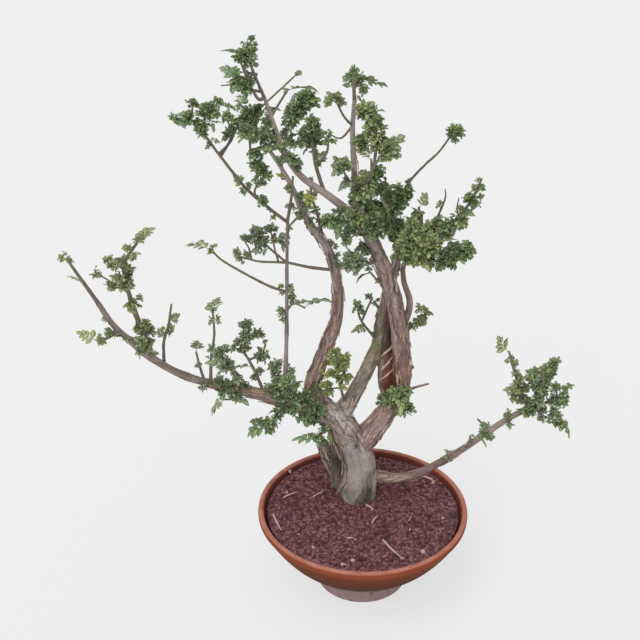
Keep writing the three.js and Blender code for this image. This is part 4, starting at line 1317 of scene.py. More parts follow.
def trunk_shape(centres: Array, out: Array, _way: Array) -> Array:
    """Five low ridges round the trunk, which draws in at the soil and swells at its front.

    Args:
        centres: The circles' centres.
        out: The directions from there.

    Returns:
        The share of the radius.
    """
    angle = np.arctan2(out[..., 1], out[..., 0])
    above = np.maximum(centres[..., 2] - SOIL_LEVEL, 0)
    ridges = np.cos(5 * angle + 0.02 * centres[..., 2])
    front = np.maximum(-np.sin(angle), 0) ** 2
    return 0.99 + 0.035 * ridges + (0.42 * front - 0.05) * np.exp(-above / 16)


def collar(girth: float, _centres: Array, _out: Array, way: Array) -> Array:
    """A branch swells towards its root, as 1 + a exp(-way / b), with b about twice its radius."""
    return 1 + 0.18 * np.exp(-way / (2.2 * girth))


def neighbour_mean(faces: Array, values: Array) -> Array:
    """The mean of its neighbours' values for each point of a closed skin of quads.

    There each neighbour comes up once, as the far end of a face's edge.
    """
    start, end = faces.T.ravel(), np.roll(faces, -1, 1).T.ravel()
    count = np.bincount(start, minlength=len(values))
    return np.stack([np.bincount(start, column[end]) / count for column in values.T], 1)


def vertex_normals(faces: Array, points: Array) -> Array:
    """For each point, the direction of its quads' normals' sum, each the product of two diagonals."""
    corner = points[faces]
    normal = np.cross(corner[:, 2] - corner[:, 0], corner[:, 3] - corner[:, 1])
    total = [np.bincount(faces.T.ravel(), np.tile(column, 4)) for column in normal.T]
    return unit(np.stack(total, 1) + 1e-12)


@dataclass
class Leaves:
    """Compound leaves in their places, one row of each array to a leaf.

    Attributes:
        roots: Where their stalks start.
        alongs: The directions that they grow in.
        lengths: Their lengths.
        rolls: How far each is turned about its own direction.
    """

    roots: Array
    alongs: Array
    lengths: Array
    rolls: Array

    def at(self, u: Array, w: Array, rise: Array) -> Array:
        """Points of the leaves' arched planes.

        Across is level and square to the leaf, then turned about the leaf by its roll. The plane
        folds up by LEAF_FOLD of the way across and droops by LEAF_DROOP of the square of the way along.

        Args:
            u: The way along each leaf, one row to a leaf.
            w: The way across.
            rise: The height over the plane.

        Returns:
            Places, three numbers to each.
        """
        level = unit(np.cross([0.0, 0.0, 1.0], self.alongs))
        turn = self.rolls[:, None]
        across = level * np.cos(turn) + np.cross(self.alongs, level) * np.sin(turn)
        up = np.cross(self.alongs, across)
        height = LEAF_FOLD * np.abs(w) - LEAF_DROOP * u * u + rise
        place = self.roots[:, None] + self.alongs[:, None] * u[..., None]
        return place + across[:, None] * w[..., None] + up[:, None] * height[..., None]


@dataclass(frozen=True)
class LeafMaker:
    """Turns leaves in their places into leaflets on a rib.

    Attributes:
        pairs: How many pairs of leaflets stand along the rib, under the one at its tip.
        bare: The share of the rib below the first pair.
        last: The share of the rib where the last leaflet starts.
        reach: A lowest leaflet's length, as a share of the leaf's.
        slim: A leaflet's half width, as a share of its length.
        thick: A leaflet's thickness.
        splay: How far a lowest leaflet is turned from the rib, in radians.
        rings: The way along a leaflet of each of its rings, and its half width there.
        stalk: The way along the rib of each of its rings, and its radius there.
    """

    pairs: int = 3
    bare: float = 0.2
    last: float = 0.66
    reach: float = 0.38
    slim: float = 0.29
    thick: float = 0.4
    splay: float = 1.1
    rings: tuple[tuple[float, float], ...] = ((0.16, 0.62), (0.45, 1.0), (0.76, 0.72))
    stalk: tuple[tuple[float, float], ...] = ((-0.02, 0.75), (0.24, 0.55), (0.5, 0.4), (0.76, 0.28))

    def leaflet(
        self, leaves: Leaves, start: float, angle: float, share: float, draw: Draws
    ) -> Surface:
        """One leaflet on every leaf: a thin lens folded along its middle.

        The edges stand higher than the middle, the tip bends down by the square of the way along,
        and the whole is twisted a little about its own line.

        Args:
            leaves: The leaves.
            start: Where it starts, as a share of the leaf's length.
            angle: How far it is turned from the rib, to the left if positive.
            share: Its length as a share of the leaf's.
            draw: Random draws.

        Returns:
            The surface, with how near each point is to the rib in "rib".
        """
        count = len(leaves.lengths)
        length = leaves.lengths[:, None] * share * draw.uniform(0.8, 1.15, (count, 1))
        width = length * self.slim * draw.uniform(0.85, 1.2, (count, 1))
        twist = draw.normal(0, 0.35, (count, 1))
        curl = draw.uniform(0.0, 0.35, (count, 1))
        turned = angle + draw.normal(0, 0.16, (count, 1))
        rows = [(way, wide * side, body, wide * fold, rib)
                for way, wide in self.rings for side, body, fold, rib in LENS]
        way, side, body, fold, rib = np.array([*rows, (0, 0, 0, 0, 1), (1, 0, 0, 0, 0.3)]).T
        a, b = length * way, width * side
        rise = self.thick * body + width * fold + b * np.tan(twist) - curl * length * way**2
        u = leaves.lengths[:, None] * start + a * np.cos(turned) - b * np.sin(turned)
        w = a * np.sin(turned) + b * np.cos(turned)
        skin = copies(leaves.at(u, w, rise), capped_faces(len(self.rings), len(LENS)))
        return skin.valued(rib=np.tile(rib, count))

    def rib(self, leaves: Leaves) -> Surface:
        """The rib of every leaf: a thin three-sided rod along the arch, from the stalk up.

        Args:
            leaves: The leaves.

        Returns:
            The surface.
        """
        way, radius = np.repeat(self.stalk, 3, axis=0).T
        angle = np.tile(turns(3), len(self.stalk))
        girth = radius * np.clip(leaves.lengths / 20, 0.5, 1)[:, None]
        points = leaves.at(leaves.lengths[:, None] * way, girth * np.cos(angle), girth * np.sin(angle))
        return copies(points, rod_faces(len(self.stalk))).valued(rib=1.0)

    def make(self, leaves: Leaves, tint: Tint, draw: Draws) -> Surface:
        """The leaves' whole surface.

        Args:
            leaves: The leaves.
            tint: Their green.
            draw: Random draws.

        Returns:
            The surface, with the values that the leaves' finish reads, in slot 1.
        """
        count = len(leaves.lengths)
        tone = draw.uniform(0.0, 1.0, count)
        yellow = np.clip(tint.value[0] + draw.normal(0, 0.12, count), 0, 1)
        grey = np.clip(tint.value[1] + draw.normal(0, 0.18, count), 0, 1)
        parts = [self.rib(leaves)]
        for pair in range(self.pairs):
            start = self.bare + (self.last - self.bare) * (pair + 0.3) / self.pairs
            for side in (1, -1):
                angle, share = side * (self.splay - 0.22 * pair), self.reach * (1 - 0.08 * pair)
                parts.append(self.leaflet(leaves, start, angle, share, draw))
        parts.append(self.leaflet(leaves, self.last, 0.0, (1 - self.last) * 1.15, draw))
        valued = []
        for part in parts:
            tones = np.clip(tone + draw.normal(0, 0.25, count), 0, 1)
            held = {"tone": tones, "yellow": yellow, "grey": grey}
            each = len(part.points) // count
            valued.append(part.valued(**{key: np.repeat(value, each) for key, value in held.items()}))
        return merged(valued).painted(1)


# The small leaves of a clump have fewer and rounder leaflets
SMALL_LEAF = LeafMaker(
    pairs=1, last=0.5, reach=0.56, slim=0.42, thick=0.35, splay=1.2, rings=((0.24, 0.84), (0.76, 0.88)),
    stalk=((-0.02, 0.5), (0.6, 0.3)),
)


def draws_from(seed: int) -> Callable[[], float]:
    """A repeatable run of numbers from 0 to 1, mixed as the solids' leaves were drawn.

    Args:
        seed: Where the run starts.

    Returns:
        A function that gives the next number.
    """
    low = 0xFFFFFFFF
    state = seed

    def draw() -> float:
        """The next number."""
        nonlocal state
        state = (state + 0x6D2B79F5) & low
        mixed = ((state ^ (state >> 15)) * (1 | state)) & low
        mixed = ((mixed + ((mixed ^ (mixed >> 7)) * (61 | mixed))) & low) ^ mixed
        return (mixed ^ (mixed >> 14)) / 2**32

    return draw


@dataclass
class Spray:
    """A leafy spray: its twigs with the leaves of its solid and clumps of smaller ones.

    Attributes:
        name: The spray's name.
        number: Its place in the table, which seeds its draws.
        limb: The centre line of the limb that it grows from.
        tint: The green of its leaves.
        twigs: The twig from the limb and then those that branch from it.
        solid: The points of its solid.
        sides: How many points go round a twig.
        step: How far apart a twig's circles are.
    """

    name: str
    number: int
    limb: Line
    tint: Tint
    twigs: Sequence[Twig]
    solid: Array
    sides: int = 8
    step: float = 3.0

    def large_leaves(self, line: Line, leaves: int, draw: Callable[[], float]) -> Leaves | None:
        """The leaves that the solid has on a twig, turned as it has them.

        A leaf stands at one of a few turns round its twig. The one that its solid took is known by
        the point that the solid has at the leaf's tip. A leaf without one found no room there.

        Args:
            line: The twig's centre line.
            leaves: How many leaves were to grow on it.
            draw: The draws that the solid's leaves were made with.

        Returns:
            The leaves, if there are any.
        """
        _, tangents, normals, binormals = line.frames(np.linspace(0, 1, leaves * 2 + 1))
        found = []
        for i in range(leaves):
            share = LAST_LEAF if leaves == 1 else BARE_TWIG + (LAST_LEAF - BARE_TWIG) * i / (leaves - 1)
            frame = math.floor(share * leaves * 2 + 0.5)
            first = i * GOLDEN_ANGLE + 2 * math.pi * draw()
            lean = 0.35 + (0.75 - 0.35) * share + 0.3 * draw()
            length = (LEAF_LENGTH if i == leaves - 1 else SIDE_LEAF_LENGTH) * (0.85 + 0.35 * draw())
            roll = LEAF_ROLL * (2 * draw() - 1)
            turn = first + TURN_ON * np.arange(LEAF_TRIES)[:, None]
            along = normals[frame] * np.cos(turn) + binormals[frame] * np.sin(turn) + tangents[frame] * lean
            along[:, 2] += LEAF_LIFT
            along[:, 2] = np.minimum(along[:, 2], STEEPEST_LEAF * np.linalg.norm(along, axis=1))
            root = np.repeat(line.at(line.spans(share))[None], LEAF_TRIES, 0)
            tries = Leaves(root, unit(along), np.full(LEAF_TRIES, length), np.full(LEAF_TRIES, roll))
            rise = np.full((LEAF_TRIES, 1), LEAF_THICKNESS / 2)
            tips = tries.at(tries.lengths[:, None], 0 * rise, rise)
            away = np.linalg.norm(tips - self.solid[None], axis=2).min(axis=1)
            taken = int(np.argmin(away))
            if away[taken] < SAME_POINT:
                found.append((root[taken], tries.alongs[taken], length, roll))
        return Leaves(*(np.array(column) for column in zip(*found))) if found else None

    def build(self, bark: Material, leaf: Material) -> Piece:
        """Makes the piece, which stands for the spray's solid.

        Args:
            bark: The twigs' finish.
            leaf: The leaves' finish.

        Returns:
            The piece.
        """
        old_draw = draws_from(self.number + 1)
        draw = np.random.default_rng(SPRAY_SEED + self.number)
        main = branch_line(self.limb, self.twigs[0].at, self.twigs[0].path)
        lines = [main, *(branch_line(main, twig.at, twig.path) for twig in self.twigs[1:])]
        parts = []
        for line, twig in zip(lines, self.twigs):
            radii = (twig.radii[0], twig.radii[1] * 0.85)
            wood = tube(line, radii, self.sides, self.step, partial(knobbly, int(draw.integers(1000))))
            parts.append(wood.valued(young=smooth_step(wood.values["along"] / line.length, 0.2, 1.0)))
            large = self.large_leaves(line, twig.leaves, old_draw)
            if large:
                parts.append(LeafMaker().make(large, self.tint, draw))
            for share, reach in twig.clumps.items():
                parts += Clump(line, twig.radii, share, reach).grown(self.tint, draw)
        piece = merged(parts).build(f"sprig_{self.name}", bark, leaf)
        return adopt(piece, "foliage", f"spray_{self.name}")


def knobbly(seed: int, centres: Array, out: Array, _way: Array) -> Array:
    """A twig's small swellings: 1 plus noise of the place."""
    return 1 + 0.16 * noise(centres + out * 2, 4.5, seed)


@dataclass(frozen=True)
class Clump:
    """A knot of short shoots with small leaves all over them.

    Attributes:
        line: The centre line of the twig or bough that it grows from.
        radii: The radii along that line.
        share: The share of the way along where it sits.
        reach: How far it reaches from there.
        lean: The way that it leans. On a twig it goes all round, and a little up.
    """

    line: Line
    radii: Sequence[float]
    share: float
    reach: float
    lean: Point = (0.0, 0.0, 0.25)

    def shoots(self, draw: Draws) -> tuple[Array, Array]:
        """Where the shoots start, on the bark, and where they end.

        Args:
            draw: Random draws.

        Returns:
            The starts and the ends, one row to a shoot.
        """
        count = max(2, round(self.reach / 2.5))
        spread = 0.45 * self.reach / self.line.length
        shares = np.sort(np.clip(self.share + draw.uniform(-spread, spread, count), 0.01, 1.0))
        centre, tangent, _, _ = self.line.frames(shares)
        way = unit(draw.normal(0, 1, (count, 3))) + np.array(self.lean)
        end = smooth_step(shares, 0.9, 1.0)[:, None]
        along = np.sum(way * tangent, axis=1, keepdims=True)
        way = unit(way - tangent * along * (1 - end) + tangent * (0.15 + 0.5 * end))
        side = unit(way - tangent * np.sum(way * tangent, axis=1, keepdims=True) + 1e-6)
        girth = radius_along(self.radii, self.line.spans(shares))[:, None]
        root = centre + side * girth * 0.6
        return root, root + way * (girth * 0.4 + self.reach * draw.uniform(0.15, 0.6, (count, 1)))

    def grown(self, tint: Tint, draw: Draws) -> list[Surface]:
        """The shoots and their leaves.

        A leaf points half along its shoot and half any way, and a little up.

        Args:
            tint: The green of the leaves.
            draw: Random draws.

        Returns:
            The shoots' surface in the first slot and the leaves' in the second.
        """
        start, end = self.shoots(draw)
        count = max(5, round(LEAVES_PER_REACH * self.reach**2))
        chosen = draw.integers(0, len(start), count)
        way = np.sqrt(draw.uniform(0.08, 1, (count, 1)))
        root = start[chosen] + (end - start)[chosen] * way
        out = unit((end - start)[chosen])
        along = unit(out * 0.7 + unit(draw.normal(0, 1, (count, 3))) + [0, 0, 0.2])
        along[:, 2] = np.clip(along[:, 2], -0.9, 0.9)
        length = draw.uniform(0.55, 0.9, count) * np.clip(self.reach, 8.5, 15)
        leaves = Leaves(root, unit(along), length, draw.uniform(-1.2, 1.2, count))
        return [rods(start, end, radius=0.55).valued(young=0.6), SMALL_LEAF.make(leaves, tint, draw)]


def rods(start: Array, end: Array, radius: float) -> Surface:
    """Three-sided rods between pairs of points, a third thinner at their ends.

    Args:
        start: Where they start.
        end: Where they end.
        radius: How thick they are.

    Returns:
        The surface.
    """
    along = unit(end - start)
    side = unit(np.cross(along, [0.31, 0.57, 0.76]))
    ring = directions(side, np.cross(along, side), turns(3))
    points = np.concatenate([start[:, None] + ring * radius, end[:, None] + ring * radius * 0.66], 1)
    return copies(points, rod_faces(2))


@dataclass(frozen=True)
class Spur:
    """A clump of leaves that grows straight from the bark of a bough.

    Attributes:
        at: Where it sits, counted in points along the bough.
        reach: How far it reaches.
        lean: The way that it leans.
        tint: The green of its leaves.
        stalk: The length of the short twig that holds it off the bark, if it has one.
    """

    at: float
    reach: float
    lean: Point
    tint: Tint
    stalk: float = 0.0

    def grown(self, line: Line, radii: Sequence[float], draw: Draws) -> list[Surface]:
        """Its surfaces, on a bough with that line and those radii.

        Args:
            line: The bough's centre line.
            radii: The radii along it.
            draw: Random draws.

        Returns:
            The stalk, the shoots and the leaves.
        """
        walked = np.linspace(0, 1, SPUR_SHARES)
        share = float(np.interp(self.at / (len(line.points) - 1), line.spans(walked), walked))
        if not self.stalk:
            return Clump(line, radii, share, self.reach, self.lean).grown(self.tint, draw)
        foot = line.at(line.spans(share))
        stalk = Line([foot, foot + unit(np.array(self.lean)) * self.stalk])
        clump = Clump(stalk, STALK, 1.0, self.reach).grown(self.tint, draw)
        return [tube(stalk, STALK, sides=6, step=4.0).valued(young=0.4), *clump]


@dataclass
class Spurs:
    """The clumps of leaves on the boughs' bark, one piece to a bough."""

    lines: dict[str, Line]

    def build(self, bark: Material, leaf: Material) -> None:
        """Makes the pieces.

        Args:
            bark: The shoots' finish.
            leaf: The leaves' finish.
        """
        parts: dict[str, list[Surface]] = {limb: [] for limb in SPURS}
        rows = [(limb, row) for limb, spurs in SPURS.items() for row in spurs]
        for number, (limb, row) in enumerate(rows):
            draw = np.random.default_rng(SPUR_SEED + number)
            parts[limb] += Spur(*row).grown(self.lines[limb], LIMBS[limb].radii, draw)
        for limb in sorted(parts):
            adopt(merged(parts[limb]).build(f"spurs_{limb}", bark, leaf), "foliage")


# How wide a spur's stalk is, how finely its bough is measured, and the ways that spurs lean
STALK = (1.5, 1.2)
SPUR_SHARES = 101
UP = (0.0, -0.2, 1.2)
DOWN = (0.0, -0.3, -1.2)
FRONT = (0.0, -1.3, 0.3)
LEFT = (-1.3, -0.2, 0.2)
RIGHT = (1.3, -0.2, 0.2)
BACK = (0.0, 1.2, 0.3)

# The spurs of each bough: where, how far, which way, how green and, for some, on how long a stalk
SPURS: dict[str, list[tuple]] = {
    "bough_left": [(0.5, 4, UP, DEEP), (1, 9, UP, FRESH), (1.35, 15, FRONT, DEEP), (1.7, 13, UP, FRESH),
        (2, 9, DOWN, DEEP), (2.15, 10, FRONT, DEEP), (2.35, 10, DOWN, FRESH), (2.6, 14, UP, DUSTY),
        (2.85, 14, UP, DUSTY), (3.75, 5, UP, DEEP), (4.05, 12, UP, DUSTY), (4.35, 10, FRONT, DEEP),
        (4, 12, DOWN, DUSTY), (4.4, 8, DOWN, DUSTY), (4.65, 10, UP, DUSTY), (5, 8, DOWN, DUSTY),
        (7.4, 11, UP, OLIVE), (7, 4, UP, OLIVE), (8.6, 7, LEFT, OLIVE), (9.3, 6, LEFT, OLIVE),
        (1.55, 12, DOWN, DEEP), (7.8, 6, UP, OLIVE, 8), (8.3, 8, FRONT, OLIVE, 4)],
    "wand": [(0.35, 10, UP, DUSTY), (0.6, 9, RIGHT, DUSTY), (1.75, 9, LEFT, DUSTY), (1.65, 5, LEFT, DUSTY),
        (2.05, 8, RIGHT, OLIVE), (2.3, 7, RIGHT, DUSTY)],
    "bough_mid": [(0.6, 7, FRONT, DEEP), (5.3, 8, RIGHT, DUSTY, 6), (5.7, 9, RIGHT, DUSTY, 6),
        (6.1, 8, RIGHT, DUSTY, 8), (7.4, 5, FRONT, FRESH), (7.9, 8, LEFT, FRESH), (8.2, 11, RIGHT, DUSTY),
        (8.6, 9, RIGHT, FRESH), (9, 5, LEFT, FRESH), (10.2, 9, RIGHT, DEEP), (10.8, 9, LEFT, DEEP),
        (0.9, 12, LEFT, DEEP), (1.3, 6, FRONT, DEEP, 14), (1.9, 9, (0.9, -0.9, 0.2), YELLOW, 9),
        (2.1, 10, RIGHT, YELLOW, 17), (9.5, 6, LEFT, YELLOW, 8)],
    "leader": [(11.6, 9, DOWN, YELLOW, 16), (2.7, 9, LEFT, FRESH, 20), (7.6, 6, LEFT, DUSTY),
        (8.2, 6, LEFT, DUSTY), (8.7, 12, LEFT, FRESH), (9.3, 12, UP, DEEP), (9.6, 12, RIGHT, DEEP),
        (9.8, 11, LEFT, DEEP), (12.9, 11, RIGHT, FRESH), (13.4, 5, RIGHT, DEEP), (13.9, 6, RIGHT, DEEP),
        (14.4, 9, LEFT, DEEP), (14.8, 10, LEFT, DEEP)],
    "spire": [(0.3, 13, RIGHT, DEEP), (0.6, 14, RIGHT, DEEP), (0.9, 13, RIGHT, DEEP),
        (0.7, 12, LEFT, OLIVE), (1.15, 10, RIGHT, DEEP), (2.55, 14, RIGHT, OLIVE)],
    "right_stem": [(3.2, 6, UP, OLIVE), (3.7, 13, FRONT, OLIVE), (4.1, 14, UP, FRESH), (4.6, 14, UP, OLIVE),
        (5, 13, FRONT, FRESH), (5.3, 14, UP, OLIVE), (5.8, 12, UP, OLIVE)],
    "bough_back": [(3.4, 5, LEFT, DEEP), (7.4, 14, RIGHT, FRESH), (7.9, 14, UP, DEEP),
        (8.4, 14, FRONT, DEEP), (8.9, 14, LEFT, DEEP), (9.4, 14, RIGHT, DEEP)],
    "bough_right": [(4.4, 8, UP, OLIVE), (5.35, 4, UP, OLIVE), (5.9, 10, UP, FRESH), (5.9, 8, DOWN, FRESH),
        (6.8, 8, DOWN, FRESH), (7, 8, UP, OLIVE), (7.8, 10, DOWN, DEEP), (7.9, 9, BACK, DEEP)],
}


def pot_radius(height: Array | float) -> Array:
    """The bowl's outer radius at a height: a straight foot under a wall that spreads and steepens.

    Args:
        height: The height over the table.

    Returns:
        The radius there.
    """
    share = np.clip((height - FOOT_HEIGHT) / (POT_HEIGHT - LIP_DEPTH - FOOT_HEIGHT), 0, 1)
    spread = RIM_RADIUS - 2 - FOOT_RADIUS - FOOT_STEP
    wall = FOOT_RADIUS + FOOT_STEP + spread * share**WALL_CURVE
    return np.where(height <= FOOT_HEIGHT, FOOT_RADIUS + FOOT_FLARE * height, wall)


def softened(profile: Array, rounds: int) -> Array:
    """Rounds a profile's corners: each round cuts every corner at a quarter of its two sides.

    Args:
        profile: Its points, in order.
        rounds: How many rounds there are.

    Returns:
        The rounded profile.
    """
    for _ in range(rounds):
        near_end = 0.75 * profile[:-1] + 0.25 * profile[1:]
        far_end = 0.25 * profile[:-1] + 0.75 * profile[1:]
        cut = np.stack([near_end, far_end], 1).reshape(-1, 2)
        profile = np.vstack([profile[:1], cut, profile[-1:]])
    return profile


def circles(radius: Array | float, height: Array | float, turn: Array) -> Array:
    """Points round the upright middle line, at these radii and heights."""
    return np.stack(np.broadcast_arrays(radius * np.cos(turn), radius * np.sin(turn), height), -1)


@dataclass
class Bowl:
    """The terracotta bowl: a shell turned on a wheel, with a rolled lip, a foot and drain holes."""

    segments: int = 160
    wall_steps: int = 12
    wobble: float = 0.35
    bore_segments: int = 28

    def profile(self) -> Array:
        """Radius and height from the middle of the foot's underside, out over the lip and in again.

        The foot's underside is a ring round a shallow hollow. The wall's heights lie closer together
        where it curves most.

        Returns:
            Two numbers for each point.
        """
        share = np.linspace(0, 1, self.wall_steps)
        rise = FOOT_HEIGHT + 1.5 + (POT_HEIGHT - LIP_DEPTH - FOOT_HEIGHT - 1.5) * share**1.6
        wall = np.stack([pot_radius(rise), rise], 1)
        foot = [(0, UNDERSIDE), (FOOT_RADIUS - 9, UNDERSIDE), (FOOT_RADIUS - 7, 0), (FOOT_RADIUS - 1, 0)]
        foot += [(FOOT_RADIUS, 1), (float(pot_radius(FOOT_HEIGHT)), FOOT_HEIGHT)]
        lip = [(RIM_RADIUS - 0.6, POT_HEIGHT - LIP_DEPTH + 1.2), (RIM_RADIUS, POT_HEIGHT - 7)]
        lip += [(RIM_RADIUS, POT_HEIGHT - 3), (RIM_RADIUS - 1.5, POT_HEIGHT), (RIM_RADIUS - 5, POT_HEIGHT)]
        lip += [(RIM_RADIUS - LIP_WIDTH + 1, POT_HEIGHT - 1.4), (RIM_RADIUS - LIP_WIDTH, POT_HEIGHT - 6)]
        down = (FOOT_HEIGHT + 5) + (POT_HEIGHT - LIP_DEPTH - FOOT_HEIGHT - 5) * share[::-1] ** 1.6
        inner = np.stack([pot_radius(down) - WALL, down], 1)
        floor = [(FOOT_RADIUS - WALL, FOOT_HEIGHT + 1), (FOOT_RADIUS - WALL - 3, FLOOR), (0, FLOOR)]
        return softened(np.vstack([foot, wall, lip, inner, floor]).astype(float), 2)

    def shell(self) -> Surface:
        """The profile turned about the middle, a little out of true as a thrown pot is.

        A point's radius is the profile's, times 1 plus a slow wave of its turn and height.

        Returns:
            The surface, with the values that its finish reads.
        """
        turn = turns(self.segments)
        radius, height = self.profile()[1:-1].T[:, :, None]
        wave = np.sin(2 * turn + 0.6) + 0.5 * np.sin(3 * turn + height * 0.05)
        rings = 0.12 * np.sin(height * 1.9) * (height > FOOT_HEIGHT)
        reach = radius + (self.wobble * wave + rings) * (radius / RIM_RADIUS)
        skin = closed(circles(reach, height, turn), (0, 0, UNDERSIDE), (0, 0, FLOOR))
        x, y, z = skin.points.T
        out = np.hypot(x, y)
        inside = smooth_step(pot_radius(z) - out, 2, 4.5) * smooth_step(z, FOOT_HEIGHT, FOOT_HEIGHT + 4)
        # For the finish: edge marks the rim's top, where it paints a mottled highlight, and damp a band of
        # the wall's heights that it darkens as painted shade with a damp stain
        return skin.valued(
            lip=smooth_step(z, POT_HEIGHT - LIP_DEPTH - 1, POT_HEIGHT - LIP_DEPTH + 2),
            edge=smooth_step(z, POT_HEIGHT - 3.5, POT_HEIGHT - 0.5),
            inner=inside * smooth_step(z, POT_HEIGHT - 0.4, POT_HEIGHT - 2.5),
            damp=smooth_step(z, 103, 66) * smooth_step(z, 20, 30),
            lime=smooth_step(z, FOOT_HEIGHT + 4, FOOT_HEIGHT - 2) * smooth_step(out, 30, 40),
        )

    def bore(self, x: float, y: float) -> Surface:
        """The cylinder that a drain hole is cut with."""
        low, high = -5, FLOOR + 5
        rings = circles(HOLE_RADIUS, np.array([[low], [high]]), turns(self.bore_segments)) + [x, y, 0]
        return closed(rings, (x, y, low), (x, y, high))

    def build(self, clay: Material) -> Piece:
        """Makes the piece and cuts its drain holes, evenly round the middle of its floor.

        Args:
            clay: Its finish.

        Returns:
            The piece.
        """
        bowl = self.shell().build("bowl", clay)
        turn = turns(HOLES) + math.pi / 2
        places = zip(HOLE_CIRCLE * np.cos(turn), HOLE_CIRCLE * np.sin(turn))
        bores = merged([self.bore(x, y) for x, y in places]).build("bores", clay)
        cut = bowl.modifiers.new("drain", "BOOLEAN")
        cut.operation, cut.object, cut.solver = "DIFFERENCE", bores, "EXACT"
        depsgraph = bpy.context.evaluated_depsgraph_get()
        bowl.data = bpy.data.meshes.new_from_object(bowl.evaluated_get(depsgraph))
        bowl.modifiers.clear()
        bpy.data.objects.remove(bores)
        return adopt(bowl, "terracotta", "pot")


def soil_height(x: Array | float, y: Array | float) -> Array:
    """The soil's slow swell under its top dressing, which is thinner round the trunk."""
    swell = 0.8 * np.sin(0.021 * x + 0.4) * np.cos(0.026 * y)
    away = np.hypot(x - TRUNK_FOOT[0], y - TRUNK_FOOT[1])
    return SOIL_LEVEL + TOP_DRESSING + swell - 4.4 * np.exp(-((away / 44) ** 2))


def granules(points: Array, size: float, seed: int) -> tuple[Array, Array]:
    """Domes on scattered middles.

    Each square of the given size holds one middle, shifted by a hashed amount. A point's height
    is that of the ball round the nearest middle: the root of r^2 - d^2, as a share of the size.

    Args:
        points: Places, two numbers to each.
        size: The squares' edge.
        seed: Chooses one of many such fields.

    Returns:
        The height and a number from 0 to 1 that a whole granule shares.
    """
    cell = np.floor(points / size)
    best = np.full(points.shape[:-1], 9.0)
    tone = np.zeros(points.shape[:-1])
    for step in np.ndindex(3, 3):
        square = cell + step - 1
        keys = np.concatenate([square, np.zeros((*square.shape[:-1], 1))], -1)
        shift = np.stack([hashed(keys, seed), hashed(keys, seed + 1)], -1)
        away = np.linalg.norm((square + 0.15 + 0.7 * shift) - points / size, axis=-1)
        away = away / (0.75 + 0.4 * hashed(keys, seed + 2))
        closer = away < best
        best = np.where(closer, away, best)
        tone = np.where(closer, hashed(keys, seed + 3), tone)
    return np.sqrt(np.maximum(0.64 - best**2, 0)), tone


@dataclass
class Soil:
    """The granules that fill the bowl: one closed body with a grained top, and loose ones on it.

    Attributes:
        rings: How many circles of points the top has.
        columns: How many points a circle has.
        grain: The spacing of the large granules.
        loose: How many granules lie loose on the top.
    """

    rings: int = 112
    columns: int = 480
    grain: float = 3.4
    loose: int = 700

    @property
    def edge(self) -> float:
        """The radius where the top meets the bowl's wall."""
        return float(pot_radius(SOIL_LEVEL - 3.0)) - WALL - 0.6

    def body(self) -> Surface:
        """The soil as it fills the bowl, closed by the wall and the floor that it lies on.

        Small granules lie where the hashed tone of a large one says that there is none. The top
        sinks a little at its edge.

        Returns:
            The surface, with the values that its finish reads.
        """
        share = np.linspace(0, 1, self.rings + 1)[:0:-1, None]
        turn = turns(self.columns)
        flat = circles(self.edge * share, 0.0, turn)
        x, y = flat[..., 0], flat[..., 1]
        coarse, tone = granules(flat[..., :2], self.grain, seed=11)
        fine, fine_tone = granules(flat[..., :2], self.grain * 0.55, seed=47)
        large = hashed(np.floor(np.stack([tone * 997, tone * 0, tone * 0], -1)), 5) > 0.3
        domes = np.where(large, coarse, 0.25 + fine * 0.55)
        height = soil_height(x, y) + np.where(share > 0.985, -1.2, (domes - 0.55) * 1.9)
        depths = np.array([88.0, 66, 46, 34, FOOT_HEIGHT + 1, FLOOR + 0.4])
        walls = np.minimum(pot_radius(depths) - WALL - 0.4, self.edge)
        walls[-2:] = FOOT_RADIUS - WALL - 0.5, FOOT_RADIUS - WALL - 4
        side = circles(walls[:, None], depths[:, None], turn)[::-1]
        grid = np.concatenate([side, np.stack([x, y, height], -1)])
        skin = closed(grid, (0, 0, FLOOR + 0.4), (0, 0, soil_height(0.0, 0.0)))
        under = np.zeros((len(depths), self.columns))
        tones = np.concatenate([under, np.where(large, tone, fine_tone)])
        # open falls to 0 in the gaps between granules, where the finish paints shade
        opened = np.concatenate([under, smooth_step(domes, 0.05, 0.45)])
        earth = 0.3 * smooth_step(layered(skin.points, 34, 61), 0.1, 0.6)
        return skin.valued(
            tone=np.append(tones, [0, 0]),
            open=np.append(opened, [0, 0.5]),
            # A painted shadow under the low bough, and slow red-brown mottling of the earth
            rusty=0.5 * near(skin.points, LOW_BOUGH_SHADOW, 24) + earth,
            grime=0.8 * near(skin.points, GRIME_PATCH, 12),
        )

    def stones(self, draw: Draws) -> Surface:
        """Loose granules and pebbles: lumpy balls of a few faces each, half sunk in the top.

        Args:
            draw: Random draws.

        Returns:
            The surface, with the values that its finish reads.
        """
        radius = (self.edge - 4) * np.sqrt(draw.uniform(0, 1, self.loose))
        turn = draw.uniform(0, 2 * math.pi, self.loose)
        size = draw.gamma(6, 0.28, self.loose) + 0.5
        tone = draw.uniform(0.1, 1.0, self.loose)
        loose = np.column_stack([radius * np.cos(turn), radius * np.sin(turn), size, tone])
        pebbles = np.column_stack([PEBBLES, np.full(len(PEBBLES), PEBBLE_TONE)])
        x, y, size, tone = np.vstack([loose, pebbles]).T
        centres = np.stack([x, y, soil_height(x, y) + 0.35 * size], 1)
        return balls(centres, size, draw).valued(tone=np.repeat(tone, BALL_POINTS), open=1.0)

    def build(self, finish: Material) -> Piece:
        """Makes the piece, with the trunk's foot standing in it."""
        body = merged([self.body(), self.stones(np.random.default_rng(SOIL_SEED))])
        return adopt(body.build("granules", finish), "soil", "soil")


BALL_RINGS = 3
BALL_COLUMNS = 6
BALL_POINTS = BALL_RINGS * BALL_COLUMNS + 2


